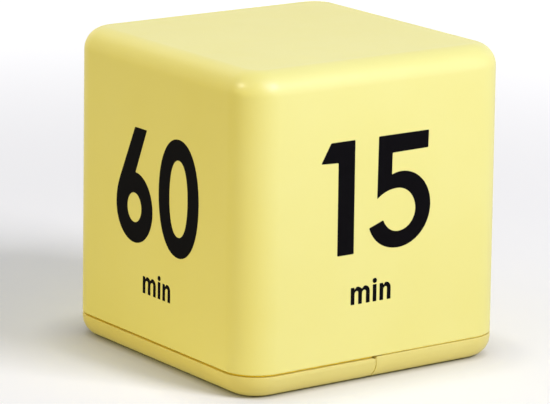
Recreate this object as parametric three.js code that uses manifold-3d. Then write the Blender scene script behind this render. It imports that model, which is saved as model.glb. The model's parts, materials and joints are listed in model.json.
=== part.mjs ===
// Cube timer: a hollow moulded cube that starts counting when it is laid on one of its four timed sides.
// Millimetres, +Z up, origin at the middle of the underside. The "15 min" side faces -Y, "60 min" faces -X.

import * as THREE from 'three';
import { mergeVertices } from 'three/addons/utils/BufferGeometryUtils.js';
import Module from 'manifold-3d';

const wasm = await Module();
wasm.setup();

// Fits
const clearance = 0.3; // between two parts that meet or slide
const overrun = 1; // how far a cut runs past the wall that it cuts

// The two AAA cells that the cube is sized around
const cellRadius = 5.25;
const cellLength = 44.5;
const cellNubRadius = 1.9;
const cellNubHeight = 0.9;
const cellEdge = 0.5; // rolled edge of the can
const cellRimHeight = 0.35; // crimped shoulder under the plus nub
const cellGap = 0.5; // between the two cells
const cellFit = 0.25; // round a cell in its bay

// Battery tray, moulded on the base cover
const springRoom = 4; // behind a minus end
const buttonRoom = 0.7; // behind a plus nub
const trayWall = 1.2;
const trayRoom = 1.55; // from the tray's end to the lip
const bayInset = 0.9; // from the split to the first bay
const pocketHalfWidth = 3.9;
const pocketRise = 4.5; // above the cells' axis

// Display
const glassWidth = 13;
const glassLength = 22;
const glassThickness = 0.9;
const glassLedge = 2.4;
const windowEdge = 1.3; // of the glass hidden all round
const windowThickness = 0.9;
const windowSeat = 1.1;
const holderWall = 1.3;
const holderWeb = 1.2;
const stripWidth = 1.8;
const stripInset = 1;
const holderWidth = glassWidth + 2 * (clearance + holderWall);
const holderLength = glassLength + 2 * (clearance + holderWall);

// Slide switch
const switchLength = 8.6;
const switchWidth = 3.8;
const switchHeight = 3.6;
const switchSheet = 0.4;
const knobTravel = 3;
const knobHeadLength = 4.2;
const knobHeadHeight = 1.2;
const knobStemLength = 2;
const knobStemWidth = 1.2;
const knobCapLength = 3.4;
const knobCapWidth = 2.8;
const knobCapHeight = 1.2;
const knobSink = 0.5; // the cap's face above the table
const knobRidge = 0.35;
const knobRidgeWidth = 0.4;
const knobRidgePitch = 0.9;
const endFit = 0.2;
const switchDish = 0.7; // shallow recess round the slot
const switchDishEdge = 1.4;

// Buzzer
const discRadius = 8;
const discThickness = 0.25;
const discSeat = 1.6; // height of the sound chamber
const discRimWall = 1.2;
const discRimHeight = 0.5;
const ceramicRadius = 5.5;
const ceramicThickness = 0.2;
const foamWall = 1.4;
const soundHoleRadius = 0.7;
const soundHoleCircle = 3.2;
const soundHoleCount = 6;
const chamberRadius = discRadius + clearance + discRimWall;

// Display, switch and buzzer stand in a row along the board
const rowEnd = 1.2; // from the board's end to the row
const rowGap = 0.8; // between the display's holder and the switch
const chamberGap = 1.6; // between the switch and the sound chamber
const boardEdgeGap = 0.65;
const rowLength = holderLength + rowGap + switchWidth + chamberGap + 2 * chamberRadius;

// Shell of the cube: as wide as the cells on one side and the row on the other need it
const shellWall = 2;
const lipWall = 1.2;
const grooveDepth = 1.2; // the door's rails run here
const bayLength = cellLength + springRoom + buttonRoom;
const bayNeed = bayLength + 2 * (trayWall + trayRoom + lipWall + grooveDepth + shellWall);
const rowNeed = rowLength + 2 * (rowEnd + boardEdgeGap + lipWall + clearance + shellWall);
const cubeWidth = Math.max(bayNeed, rowNeed);
const cubeHeight = 63.9;
const draft = 0.23; // each side leans in this far over the whole height
const cornerRadius = 7.4;
const topRadius = 4.6;
const baseRadius = 3.9;
const half = cubeWidth / 2;

// Heights in the base, from the table up
const doorWall = 1.7;
const plateThickness = 1.4; // plate that the door slides under
const railHeight = 0.85;
const doorSeam = 0.4; // wide dark line above the door
const coverSeam = 0.18; // thin line above the fixed half
const lipRise = 2.05;
const plateBase = doorWall + clearance;
const plateTop = plateBase + plateThickness;
const plateMiddle = (plateBase + plateTop) / 2;
const doorTop = plateTop + clearance + railHeight;
const seamHeight = doorTop + doorSeam;
const coverTop = seamHeight - coverSeam;
const lipTop = seamHeight + lipRise;

// The split between the door and the fixed half
const splitOffset = 0.7; // the door's edge from the middle
const splitGap = 0.3;
const stepWall = 1.5;
const baseWall = 2;
const doorEdge = -splitOffset;
const fixedEdge = doorEdge + splitGap;
const stepFace = fixedEdge + stepWall;

// Door details
const railLength = 21;
const railStart = 2.2; // from the door's free edge
const railReach = 1.2;
const doorNotchRadius = 0.7; // rounded top corner beside the split
const detentRadius = 1.6;
const detentHeight = 0.2;
const detentInset = 6.2;
const gripCount = 6;
const gripWidth = 0.9;
const gripPitch = 1.9;
const gripLength = 15;
const gripDepth = 0.45;
const gripInset = 8.4;

// Cover screws and the posts that they clamp
const screwInsetX = 6.15;
const screwInsetY = 6.55;
const bossRadius = 2.3;
const postRadius = 2.95;
const postProud = 0.4; // the posts stand this much above the lip
const screwHeadRadius = 1.8;
const screwHeadHeight = 1.3;
const screwRadius = 0.8;
const screwLength = 9;
const screwSeatWall = 2;
const screwTip = 0.6;
const screwCrownShare = 0.7; // flat top of a pan head
const crossWidth = 0.5;
const crossDepth = 0.7;
const pilotDepth = 12;
const webThickness = 1.2;
const ceilingRib = 1.2;
const ceilingRibDrop = 2.4;
const postTop = lipTop + postProud;
const screwSeat = postTop - screwSeatWall;
const bossFoot = postTop + clearance;
const screwX = half - screwInsetX;
const screwY = half - screwInsetY;

// Circuit board over the fixed half
const postHeight = 5.8;
const boardThickness = 1.2;
const boardScrewPost = 1.9;
const boardScrewHeadRadius = 1.5;
const boardScrewHeadHeight = 0.9;
const boardScrewRadius = 0.6;
const boardScrewLength = 4;
const boardBase = baseWall + postHeight;
const boardTop = boardBase + boardThickness;
const boardLeft = stepFace + boardEdgeGap;
const boardRight = half - shellWall - clearance - lipWall - boardEdgeGap;
const boardMiddle = (boardLeft + boardRight) / 2;
const boardHalfX = (boardRight - boardLeft) / 2;
const boardHalfY = boardRight;

// Tilt switches, one for each timed side
const tiltAngle = 12 * Math.PI / 180;
const tiltLift = 2.7; // of the lower end's axis above the board
const tiltOut = 2.6; // from the middle of the cross
const canRadius = 2.1;
const canWall = 0.35;
const canLength = 6.4;
const plugFlange = 0.8;
const plugSpigot = 1.2;
const ballRadius = 1.25;
const pinRadius = 0.25;
const pinSpread = 1.1;
const pinStub = 0.8; // below the board
const pinInset = 1; // from the holder's wall to the nearest pin

// Where things sit over the fixed half: the row, and the tilt switches whose pins end inside the holder
const holderPostGap = 1.6; // between the holder and the corner post
const holderFoot = boardHalfY - rowEnd - holderLength;
const displaySpot = [screwX - postRadius - holderPostGap - holderWidth / 2, holderFoot + holderLength / 2];
const switchSpot = [boardMiddle, holderFoot - rowGap - switchWidth / 2];
const buzzerSpot = [boardMiddle, holderFoot - rowGap - switchWidth - chamberGap - chamberRadius];
const tiltSpot = [boardMiddle, holderFoot + holderWall + pinInset + tiltOut + plugFlange / 2];

// Small parts, as shares of the board's half width and half length
const sideScrewShare = -0.78; // beside the switch
const farScrewShares = [0.752, 0.435];
const endScrewShares = [-0.67, -0.906];
const chipSpotShares = [0.06, -0.4];
const crystalSpotShares = [0.7, -0.18];
const capacitorShare = -0.62; // its height along the board follows the screw beside the switch
const coilSpotShares = [0.35, -0.8];
const redPadShares = [-0.82, -0.68];
const blackPadShares = [-0.82, -0.5];

// Small parts on the board
const chipRadius = 4.2;
const chipHeight = 1.3;
const crystalRadius = 1;
const crystalLength = 6;
const capacitorRadius = 2.2;
const capacitorHeight = 5.4;
const capacitorGroove = 0.25;
const coilRadius = 2.8;
const coilCore = 1.8;
const coilHeight = 5;
const coilFlange = 0.8;

// Battery contacts
const sheet = 0.4;
const contactHalfWidth = 3.7;
const contactHalfHeight = 4.3;
const tabWidth = 2.4;
const tabTop = 2.6; // above the pocket's roof
const springWire = 0.25;
const springBase = 3.1;
const springTip = 1.9;
const springTurns = 2.5;
const springSteps = 8;
const springSides = 5;
const leastSpringGap = 0.4;

// Leads
const leadRadius = 0.6;
const leadRise = 3;
const leadSides = 8;
const redLeadSteps = 22;
const blackLeadSteps = 30;
const buzzerLeadSteps = 10;
const buzzerLeadRadius = 0.35;
const buzzerLeadSpread = 2.2;

// Smoothness
const cornerSteps = 9;
const filletSteps = 5;
const roundSides = 20;
const smallSides = 12;
const pinSides = 8;
const rightAngle = Math.PI / 2;

// Where the tray and its cells lie
const bayRight = fixedEdge - bayInset;
const cellAxis = plateBase + cellRadius;
const bayRadius = cellRadius + cellFit;
const cellXs = [bayRight - bayRadius - 2 * cellRadius - cellGap, bayRight - bayRadius];
const cellShift = (springRoom - buttonRoom) / 2;
const bayHalf = bayLength / 2;

// Materials

function material(colour, roughness, metalness = 0) {
  return new THREE.MeshStandardMaterial({ color: colour, roughness, metalness });
}

const yellowAbs = material(0xf2e688, 0.42);
const clearAcrylic = material(0xc8d2d0, 0.08);
const displayGlass = material(0x8e988c, 0.15);
const whitePlastic = material(0xe9e8e2, 0.5);
const blackPlastic = material(0x1c1c1e, 0.5);
const siliconeRubber = material(0x4a4a50, 0.7);
const boardLaminate = material(0x2f6b3c, 0.45);
const blackResin = material(0x101012, 0.35);
const tinnedSteel = material(0xc3c5c7, 0.3, 1);
const springSteel = material(0xb4b6b8, 0.28, 1);
const brassSheet = material(0xc9a552, 0.35, 1);
const ceramicFilm = material(0xe6e2d4, 0.4);
const foam = material(0x3a3a3c, 0.95);
const cellSleeve = material(0x3a3f46, 0.4);
const sleeveBlue = material(0x20262f, 0.4);
const copperWire = material(0x9c4a22, 0.35, 0.6);
const redSleeve = material(0xb3241c, 0.5);
const blackSleeve = material(0x151515, 0.5);

// Solids and meshes

function solidOf(geometry) {
  const plain = geometry.clone();
  plain.deleteAttribute('normal');
  plain.deleteAttribute('uv');
  const merged = mergeVertices(plain);
  const vertProperties = Float32Array.from(merged.attributes.position.array);
  const triVerts = Uint32Array.from(merged.index.array);
  return new wasm.Manifold(new wasm.Mesh({ numProp: 3, vertProperties, triVerts }));
}

function geometryOf(solid) {
  const { vertProperties, triVerts } = solid.getMesh();
  const geometry = new THREE.BufferGeometry();
  geometry.setAttribute('position', new THREE.BufferAttribute(Float32Array.from(vertProperties), 3));
  geometry.setIndex(new THREE.BufferAttribute(Uint32Array.from(triVerts), 1));
  geometry.computeVertexNormals();
  return geometry;
}

function piece(name, shape, finish, x = 0, y = 0, z = 0) {
  const geometry = shape.isBufferGeometry ? shape : geometryOf(shape);
  const mesh = new THREE.Mesh(geometry, finish);
  mesh.name = name;
  mesh.position.set(x, y, z);
  return mesh;
}

// A box by its corners
function block([lowX, lowY, lowZ], [highX, highY, highZ]) {
  const geometry = new THREE.BoxGeometry(highX - lowX, highY - lowY, highZ - lowZ);
  geometry.translate((lowX + highX) / 2, (lowY + highY) / 2, (lowZ + highZ) / 2);
  return solidOf(geometry);
}

// A box centred on x and y, between two heights
function slab(sizeX, sizeY, low, high, x = 0, y = 0) {
  return block([x - sizeX / 2, y - sizeY / 2, low], [x + sizeX / 2, y + sizeY / 2, high]);
}

function rod(radius, low, high, x = 0, y = 0, sides = roundSides) {
  const geometry = new THREE.CylinderGeometry(radius, radius, high - low, sides);
  geometry.rotateX(rightAngle);
  geometry.translate(x, y, (low + high) / 2);
  return solidOf(geometry);
}

// A solid of revolution about Z, from a profile of [radius, height] pairs that starts and ends on the axis
function turned(profile, sides = roundSides) {
  const points = profile.map(([radius, height]) => new THREE.Vector2(radius, height));
  const geometry = new THREE.LatheGeometry(points, sides);
  geometry.rotateX(rightAngle);
  return solidOf(geometry);
}

function joined(solids) {
  return solids.reduce((whole, solid) => whole.add(solid));
}

function without(whole, cuts) {
  return whole.subtract(joined(cuts));
}

// The cube's outer skin, moved inwards by an inset

function halfWidthAt(height) {
  return half - draft * height / cubeHeight;
}

function squareRing(inset, height) {
  const width = halfWidthAt(height) - inset;
  const radius = Math.max(cornerRadius - inset, clearance);
  const signs = [[1, 1], [-1, 1], [-1, -1], [1, -1]];
  const ring = [];
  signs.forEach(([signX, signY], corner) => {
    for (let step = 0; step <= cornerSteps; step += 1) {
      const angle = (corner + step / cornerSteps) * rightAngle;
      const x = signX * (width - radius) + radius * Math.cos(angle);
      const y = signY * (width - radius) + radius * Math.sin(angle);
      ring.push([x, y, height]);
    }
  });
  return ring;
}

function loft(rings) {
  const count = rings[0].length;
  const positions = rings.flat(2);
  const faces = [];
  for (let level = 0; level + 1 < rings.length; level += 1) {
    for (let at = 0; at < count; at += 1) {
      const next = (at + 1) % count;
      const [low, high] = [level * count, (level + 1) * count];
      faces.push(low + at, low + next, high + next, low + at, high + next, high + at);
    }
  }
  const top = (rings.length - 1) * count;
  const bottomMiddle = rings.length * count;
  positions.push(0, 0, rings[0][0][2], 0, 0, rings.at(-1)[0][2]);
  for (let at = 0; at < count; at += 1) {
    const next = (at + 1) % count;
    faces.push(bottomMiddle, next, at, bottomMiddle + 1, top + at, top + next);
  }
  const geometry = new THREE.BufferGeometry();
  geometry.setAttribute('position', new THREE.Float32BufferAttribute(positions, 3));
  geometry.setIndex(faces);
  return solidOf(geometry);
}

function cubeSolid(inset) {
  const rings = [];
  const lowRadius = Math.max(Math.min(baseRadius, doorTop) - inset, 0);
  const highRadius = Math.max(topRadius - inset, 0);
  for (let step = lowRadius > 0 ? 0 : filletSteps; step <= filletSteps; step += 1) {
    const angle = step / filletSteps * rightAngle;
    const height = inset + lowRadius * (1 - Math.cos(angle));
    rings.push(squareRing(inset + lowRadius * (1 - Math.sin(angle)), height));
  }
  for (let step = 0; step <= (highRadius > 0 ? filletSteps : 0); step += 1) {
    const angle = step / filletSteps * rightAngle;
    const height = cubeHeight - inset - highRadius * (1 - Math.sin(angle));
    rings.push(squareRing(inset + highRadius * (1 - Math.cos(angle)), height));
  }
  return loft(rings);
}

// A straight-sided prism with the cube's plan, moved inwards by an inset
function cubePrism(inset, low, high) {
  const ring = squareRing(inset, 0);
  return loft([low, high].map((height) => ring.map(([x, y]) => [x, y, height])));
}

function band(outerInset, innerInset, low, high) {
  return cubePrism(outerInset, low, high).subtract(cubePrism(innerInset, low - overrun, high + overrun));
}

const cornerSigns = [[1, 1], [1, -1], [-1, 1], [-1, -1]];
const beyond = half + overrun;

function spot([shareX, shareY]) {
  return [boardMiddle + shareX * boardHalfX, shareY * boardHalfY];
}

const boardScrewSpots = [
  spot(farScrewShares),
  [boardMiddle + sideScrewShare * boardHalfX, switchSpot[1]],
  spot(endScrewShares),
];

// Main housing: five walls in one moulding, with four screw bosses hung from the ceiling

function housingBosses() {
  const ceiling = cubeHeight - shellWall / 2;
  const parts = [];
  cornerSigns.forEach(([signX, signY]) => {
    const [x, y] = [signX * screwX, signY * screwY];
    parts.push(rod(bossRadius, bossFoot, ceiling, x, y));
    const web = new THREE.BoxGeometry(half, webThickness, ceiling - bossFoot);
    web.translate(half / 2, 0, (ceiling + bossFoot) / 2);
    web.rotateZ(Math.atan2(signY, signX));
    web.translate(x, y, 0);
    parts.push(solidOf(web));
  });
  parts.push(slab(ceilingRib, cubeWidth, ceiling - ceilingRibDrop, ceiling));
  parts.push(slab(cubeWidth, ceilingRib, ceiling - ceilingRibDrop, ceiling));
  return joined(parts).intersect(cubeSolid(shellWall / 2));
}

function mainHousing() {
  const skin = cubeSolid(0).subtract(cubeSolid(shellWall));
  const belowSeam = block([-beyond, -beyond, -overrun], [beyond, beyond, seamHeight]);
  const pilots = cornerSigns.map(([signX, signY]) => {
    const [x, y] = [signX * screwX, signY * screwY];
    return rod(screwRadius + clearance, bossFoot - overrun, bossFoot + pilotDepth, x, y, smallSides);
  });
  const solid = without(skin.subtract(belowSeam).add(housingBosses()), pilots);
  return piece('main_housing', solid, yellowAbs);
}

// Base cover: the fixed half of the underside, the plate over the door, the battery tray and the lip

function troughOutline(radius, foot) {
  const outline = new THREE.Shape();
  outline.moveTo(radius, foot);
  outline.lineTo(radius, 0);
  outline.absarc(0, 0, radius, 0, Math.PI, false);
  outline.lineTo(-radius, foot);
  outline.closePath();
  return outline;
}

// One arched channel along Y over a cell, between two stations
function trough(radius, foot, x, from, to) {
  const settings = { depth: to - from, bevelEnabled: false, curveSegments: smallSides };
  const geometry = new THREE.ExtrudeGeometry(troughOutline(radius, foot - cellAxis), settings);
  geometry.rotateX(rightAngle);
  geometry.translate(x, to, cellAxis);
  return solidOf(geometry);
}

function tray() {
  const roof = cellAxis + pocketRise;
  const [left, right] = cellXs;
  const shoulder = bayHalf - buttonRoom - cellNubHeight;
  const pocket = pocketHalfWidth + trayWall;
  const end = bayHalf + trayWall;
  const [low, high] = [plateBase - overrun, roof + trayWall];
  const tabSlot = sheet + clearance;
  const tabY = tabSlot / 2 - bayHalf;
  const outer = [];
  const inner = [];
  cellXs.forEach((x) => {
    outer.push(trough(bayRadius + trayWall, plateMiddle, x, -shoulder, shoulder));
    outer.push(block([x - pocket, -end, plateMiddle], [x + pocket, end, high]));
    inner.push(trough(bayRadius, low, x, -shoulder, shoulder));
    inner.push(block([x - pocketHalfWidth, -bayHalf, low], [x + pocketHalfWidth, bayHalf, roof]));
    inner.push(slab(tabWidth + 2 * clearance, tabSlot, roof - overrun, high + overrun, x, tabY));
  });
  outer.push(block([left, shoulder, plateMiddle], [right, end, high]));
  inner.push(block([left, shoulder, low], [right, bayHalf, roof]));
  return { outer: joined(outer), inner: joined(inner) };
}

function displayCuts() {
  const [x, y] = displaySpot;
  const width = glassWidth - 2 * windowEdge;
  const length = glassLength - 2 * windowEdge;
  const opening = slab(width, length, -overrun, baseWall + overrun, x, y);
  const seat = slab(glassWidth, glassLength, windowSeat, baseWall + overrun, x, y);
  return [opening, seat];
}

function switchCuts() {
  const [x, y] = switchSpot;
  const length = knobCapLength + knobTravel + 2 * clearance;
  const width = knobCapWidth + 2 * clearance;
  const slot = slab(length, width, -overrun, baseWall + overrun, x, y);
  const dish = slab(length + 2 * switchDishEdge, width + 2 * switchDishEdge, -overrun, switchDish, x, y);
  return [slot, dish];
}

function soundHoles() {
  const [x, y] = buzzerSpot;
  const holes = [rod(soundHoleRadius, -overrun, baseWall + overrun, x, y, smallSides)];
  for (let hole = 0; hole < soundHoleCount; hole += 1) {
    const angle = hole / soundHoleCount * 2 * Math.PI;
    const [outX, outY] = [soundHoleCircle * Math.cos(angle), soundHoleCircle * Math.sin(angle)];
    holes.push(rod(soundHoleRadius, -overrun, baseWall + overrun, x + outX, y + outY, smallSides));
  }
  return holes;
}

function soundChamber() {
  const [x, y] = buzzerSpot;
  const seat = baseWall + discSeat;
  const wall = rod(chamberRadius, baseWall / 2, seat + discRimHeight, x, y);
  const chamber = rod(discRadius - discRimWall, 0, seat + overrun, x, y);
  const pocket = rod(discRadius + clearance, seat, seat + discRimHeight + overrun, x, y);
  return without(wall, [chamber, pocket]);
}

function boardPosts() {
  const pilotFoot = boardTop - boardScrewLength - clearance;
  return boardScrewSpots.map(([x, y]) => {
    const pilot = rod(boardScrewRadius + clearance, pilotFoot, boardBase + overrun, x, y, smallSides);
    return rod(boardScrewPost, baseWall - overrun, boardBase, x, y).subtract(pilot);
  });
}

function coverPosts() {
  return cornerSigns.map(([signX, signY]) => {
    const foot = signX > 0 ? baseWall / 2 : plateMiddle;
    return rod(postRadius, foot, postTop, signX * screwX, signY * screwY);
  });
}

function coverScrewCuts() {
  return cornerSigns.flatMap(([signX, signY]) => {
    const [x, y] = [signX * screwX, signY * screwY];
    return [
      rod(screwHeadRadius + clearance, -overrun, screwSeat, x, y),
      rod(screwRadius + clearance, 0, postTop + overrun, x, y, smallSides),
    ];
  });
}

// The tongue that stands inside the housing's wall, set back over the door to leave its rails a groove
function coverLip() {
  const lipInset = shellWall + clearance;
  const grooveInset = shellWall + grooveDepth;
  const inside = grooveInset + lipWall;
  const fixedHalf = block([fixedEdge, -beyond, -overrun], [beyond, beyond, lipTop + overrun]);
  const doorHalf = block([-beyond, -beyond, -overrun], [stepFace - splitGap, beyond, lipTop + overrun]);
  const fixedLip = band(lipInset, lipInset + lipWall, coverTop / 2, lipTop).intersect(fixedHalf);
  const upper = band(lipInset, inside, seamHeight, lipTop).intersect(doorHalf);
  const lower = band(grooveInset, inside, plateMiddle, lipTop - lipRise / 2).intersect(doorHalf);
  return joined([fixedLip, upper, lower]);
}

function baseCover() {
  const fixedZone = block([fixedEdge, -beyond, -overrun], [beyond, beyond, coverTop]);
  const room = cubePrism(shellWall + clearance + lipWall, baseWall, coverTop + overrun)
    .intersect(block([stepFace, -beyond, 0], [beyond, beyond, coverTop + 2 * overrun]));
  const fixedShell = cubeSolid(0).intersect(fixedZone).subtract(room);
  const plateZone = block([-beyond, -beyond, 0], [stepFace - splitGap, beyond, plateTop]);
  const plate = cubeSolid(plateBase).intersect(plateZone);
  const { outer, inner } = tray();
  const posts = [...coverPosts(), ...boardPosts()];
  const body = joined([fixedShell, plate, coverLip(), outer, ...posts, soundChamber()]);
  const reliefs = cornerSigns.map(([signX, signY]) => (
    rod(bossRadius + clearance, postTop + clearance / 2, cubeHeight, signX * screwX, signY * screwY)
  ));
  const dimple = rod(detentRadius + clearance, 0, plateBase + detentHeight, detentInset - half, 0);
  const openings = [...displayCuts(), ...switchCuts(), ...soundHoles()];
  const solid = without(body, [inner, dimple, ...reliefs, ...coverScrewCuts(), ...openings]);
  return piece('base_cover', solid, yellowAbs);
}

// Battery door: floor and three walls of the other half, with two rails that hook over the plate

function doorRails() {
  const wallFace = half - doorWall;
  const low = plateTop + clearance;
  const end = doorEdge - railStart;
  return [1, -1].map((sign) => {
    const ys = [sign * (wallFace + doorWall / 2), sign * (wallFace - railReach)].sort((a, b) => a - b);
    return block([end - railLength, ys[0], low], [end, ys[1], doorTop]);
  });
}

function doorGrips() {
  const grips = [];
  for (let grip = 0; grip < gripCount; grip += 1) {
    const x = gripInset - half + grip * gripPitch;
    grips.push(slab(gripWidth, gripLength, -overrun, gripDepth, x, 0));
  }
  return grips;
}

// The door's top corners beside the split are eased by a small arc
function doorEasing() {
  return [1, -1].map((sign) => {
    const outline = new THREE.Shape();
    outline.moveTo(0, 0);
    outline.lineTo(-doorNotchRadius, 0);
    outline.absarc(-doorNotchRadius, -doorNotchRadius, doorNotchRadius, rightAngle, 0, true);
    outline.lineTo(0, 0);
    const depth = cornerRadius;
    const settings = { depth, bevelEnabled: false, curveSegments: filletSteps };
    const geometry = new THREE.ExtrudeGeometry(outline, settings);
    geometry.rotateX(rightAngle);
    geometry.translate(doorEdge, sign * half + depth / 2, doorTop);
    return solidOf(geometry);
  });
}

function batteryDoor() {
  const zone = block([-beyond, -beyond, -overrun], [doorEdge, beyond, doorTop]);
  const shell = cubeSolid(0).intersect(zone).subtract(cubeSolid(doorWall));
  const detent = rod(detentRadius, doorWall - overrun / 2, doorWall + detentHeight, detentInset - half, 0);
  const body = joined([shell, detent, ...doorRails()]);
  return piece('battery_door', without(body, [...doorGrips(), ...doorEasing()]), yellowAbs);
}

// Display: window, two-plate glass, holder and the rubber strip that joins it to the board

function lcdWindow() {
  const solid = slab(glassWidth - clearance, glassLength - clearance, 0, windowThickness);
  return piece('lcd_window', solid, clearAcrylic, ...displaySpot, windowSeat);
}

function lcdPanel() {
  const front = slab(glassWidth, glassLength, 0, glassThickness);
  const rearWidth = glassWidth - glassLedge;
  const rear = slab(rearWidth, glassLength, 0, 2 * glassThickness, glassLedge / 2);
  return piece('lcd_panel', front.add(rear), displayGlass, ...displaySpot, baseWall);
}

function stripCentre() {
  return (glassLedge - glassWidth) / 2;
}

function lcdHolder() {
  const pocketX = glassWidth + 2 * clearance;
  const pocketY = glassLength + 2 * clearance;
  const webLow = 2 * glassThickness + clearance;
  const frame = slab(holderWidth, holderLength, 0, postHeight);
  const under = slab(pocketX, pocketY, -overrun, webLow);
  const above = slab(pocketX, pocketY, webLow + holderWeb, postHeight + overrun);
  const stripSlot = slab(stripWidth + 2 * clearance, pocketY, webLow - overrun, postHeight, stripCentre());
  const solid = without(frame, [under, above, stripSlot]);
  return piece('lcd_holder', solid, whitePlastic, ...displaySpot, baseWall);
}

function zebraStrip() {
  const [x, y] = displaySpot;
  const foot = baseWall + glassThickness;
  const solid = slab(stripWidth, glassLength - 2 * stripInset, 0, boardBase - foot);
  return piece('zebra_strip', solid, siliconeRubber, x + stripCentre(), y, foot);
}

// Circuit board with its screws and small parts

function tiltPinSpots() {
  const [middleX, middleY] = tiltSpot;
  const out = tiltOut + plugFlange / 2;
  const spots = [];
  for (let quarter = 0; quarter < 4; quarter += 1) {
    const [cos, sin] = [Math.cos(quarter * rightAngle), Math.sin(quarter * rightAngle)];
    [pinSpread, -pinSpread].forEach((side) => {
      spots.push([middleX + out * cos - side * sin, middleY + out * sin + side * cos]);
    });
  }
  return spots;
}

function circuitBoard() {
  const board = block([boardLeft, -boardHalfY, 0], [boardRight, boardHalfY, boardThickness]);
  const [low, high] = [-overrun, boardThickness + overrun];
  const reach = screwInsetX + postRadius;
  const cuts = [];
  [screwY, -screwY].forEach((y) => {
    cuts.push(rod(postRadius + clearance, low, high, screwX, y));
    cuts.push(slab(reach, reach, low, high, screwX + reach / 2, y + Math.sign(y) * reach / 2));
  });
  tiltPinSpots().forEach(([x, y]) => {
    cuts.push(rod(pinRadius + clearance, low, high, x, y, pinSides));
  });
  boardScrewSpots.forEach(([x, y]) => {
    cuts.push(rod(boardScrewRadius + clearance, low, high, x, y, smallSides));
  });
  return piece('circuit_board', without(board, cuts), boardLaminate, 0, 0, boardBase);
}

// A pan head screw that points along +Z from its head's seat at 0, with a cross recess under the head
function screwSolid(headRadius, headHeight, radius, length) {
  const crown = headRadius * screwCrownShare;
  const profile = [[0, -headHeight], [crown, -headHeight], [headRadius, -headHeight / 2], [headRadius, 0],
    [radius, 0], [radius, length - screwTip], [0, length]];
  const cross = [[crossWidth, headRadius], [headRadius, crossWidth]].map(([sizeX, sizeY]) => (
    slab(sizeX, sizeY, -headHeight - overrun, crossDepth - headHeight)
  ));
  return without(turned(profile, smallSides), cross);
}

function coverScrews() {
  const solid = screwSolid(screwHeadRadius, screwHeadHeight, screwRadius, screwLength);
  return cornerSigns.map(([signX, signY], index) => (
    piece(`cover_screw_${index + 1}`, solid, tinnedSteel, signX * screwX, signY * screwY, screwSeat)
  ));
}

function boardScrews() {
  const solid = screwSolid(boardScrewHeadRadius, boardScrewHeadHeight, boardScrewRadius, boardScrewLength);
  return boardScrewSpots.map(([x, y], index) => {
    const mesh = piece(`board_screw_${index + 1}`, solid, tinnedSteel, x, y, boardTop);
    mesh.rotation.x = Math.PI;
    return mesh;
  });
}

function chipBlob() {
  const profile = [[0, 0], [chipRadius, 0]];
  for (let step = 1; step <= filletSteps; step += 1) {
    const angle = step / filletSteps * rightAngle;
    profile.push([chipRadius * Math.cos(angle), chipHeight * Math.sin(angle)]);
  }
  profile.at(-1)[0] = 0;
  return piece('chip_blob', turned(profile), blackResin, ...spot(chipSpotShares), boardTop);
}

function crystalCan() {
  const edge = crystalRadius / 4;
  const profile = [[0, 0], [crystalRadius - edge, 0], [crystalRadius, edge],
    [crystalRadius, crystalLength - edge], [crystalRadius - edge, crystalLength], [0, crystalLength]];
  const [x, y] = spot(crystalSpotShares);
  const axis = boardTop + crystalRadius + clearance;
  const mesh = piece('crystal_can', turned(profile, smallSides), tinnedSteel, x, y, axis);
  mesh.rotation.x = rightAngle;
  return mesh;
}

function capacitor() {
  const waist = capacitorRadius - capacitorGroove;
  const low = capacitorHeight / 6;
  const profile = [[0, 0], [waist, 0], [capacitorRadius, capacitorGroove], [capacitorRadius, low],
    [waist, low + capacitorGroove], [capacitorRadius, low + 2 * capacitorGroove],
    [capacitorRadius, capacitorHeight - capacitorGroove], [waist, capacitorHeight], [0, capacitorHeight]];
  const x = boardMiddle + capacitorShare * boardHalfX;
  const y = switchSpot[1] - boardScrewHeadRadius - clearance - capacitorRadius;
  return piece('capacitor', turned(profile, smallSides), sleeveBlue, x, y, boardTop);
}

function boostCoil() {
  const top = coilHeight - coilFlange;
  const profile = [[0, 0], [coilRadius, 0], [coilRadius, coilFlange], [coilCore, coilFlange], [coilCore, top],
    [coilRadius, top], [coilRadius, coilHeight], [0, coilHeight]];
  return piece('boost_coil', turned(profile, smallSides), copperWire, ...spot(coilSpotShares), boardTop);
}

// Slide switch under the board

function switchFrame() {
  const shell = slab(switchLength, switchWidth, -switchHeight, 0);
  const [innerLength, innerWidth] = [switchLength - 2 * switchSheet, switchWidth - 2 * switchSheet];
  const room = slab(innerLength, innerWidth, switchSheet - switchHeight, overrun);
  const slotLength = knobStemLength + knobTravel + 2 * endFit;
  const slotWidth = knobStemWidth + 2 * clearance;
  const slot = slab(slotLength, slotWidth, -switchHeight - overrun, overrun - switchHeight);
  return piece('switch_frame', without(shell, [room, slot]), tinnedSteel, ...switchSpot, boardBase);
}

function switchKnob() {
  const [x, y] = switchSpot;
  const headLow = boardBase - switchHeight + switchSheet + clearance - knobSink;
  const headWidth = switchWidth - 2 * (switchSheet + clearance);
  const head = slab(knobHeadLength, headWidth, headLow, headLow + knobHeadHeight);
  const stem = slab(knobStemLength, knobStemWidth, 0, headLow + knobHeadHeight);
  const cap = slab(knobCapLength, knobCapWidth, 0, knobCapHeight);
  const ridges = [-1, 0, 1].map((step) => (
    slab(knobRidgeWidth, knobCapWidth + overrun, -overrun, knobRidge, step * knobRidgePitch)
  ));
  const solid = without(joined([head, stem, cap]), ridges);
  return piece('switch_knob', solid, blackPlastic, x - knobTravel / 2, y, knobSink);
}

// Buzzer: brass disc with its ceramic layer, held down by a foam ring

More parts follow.
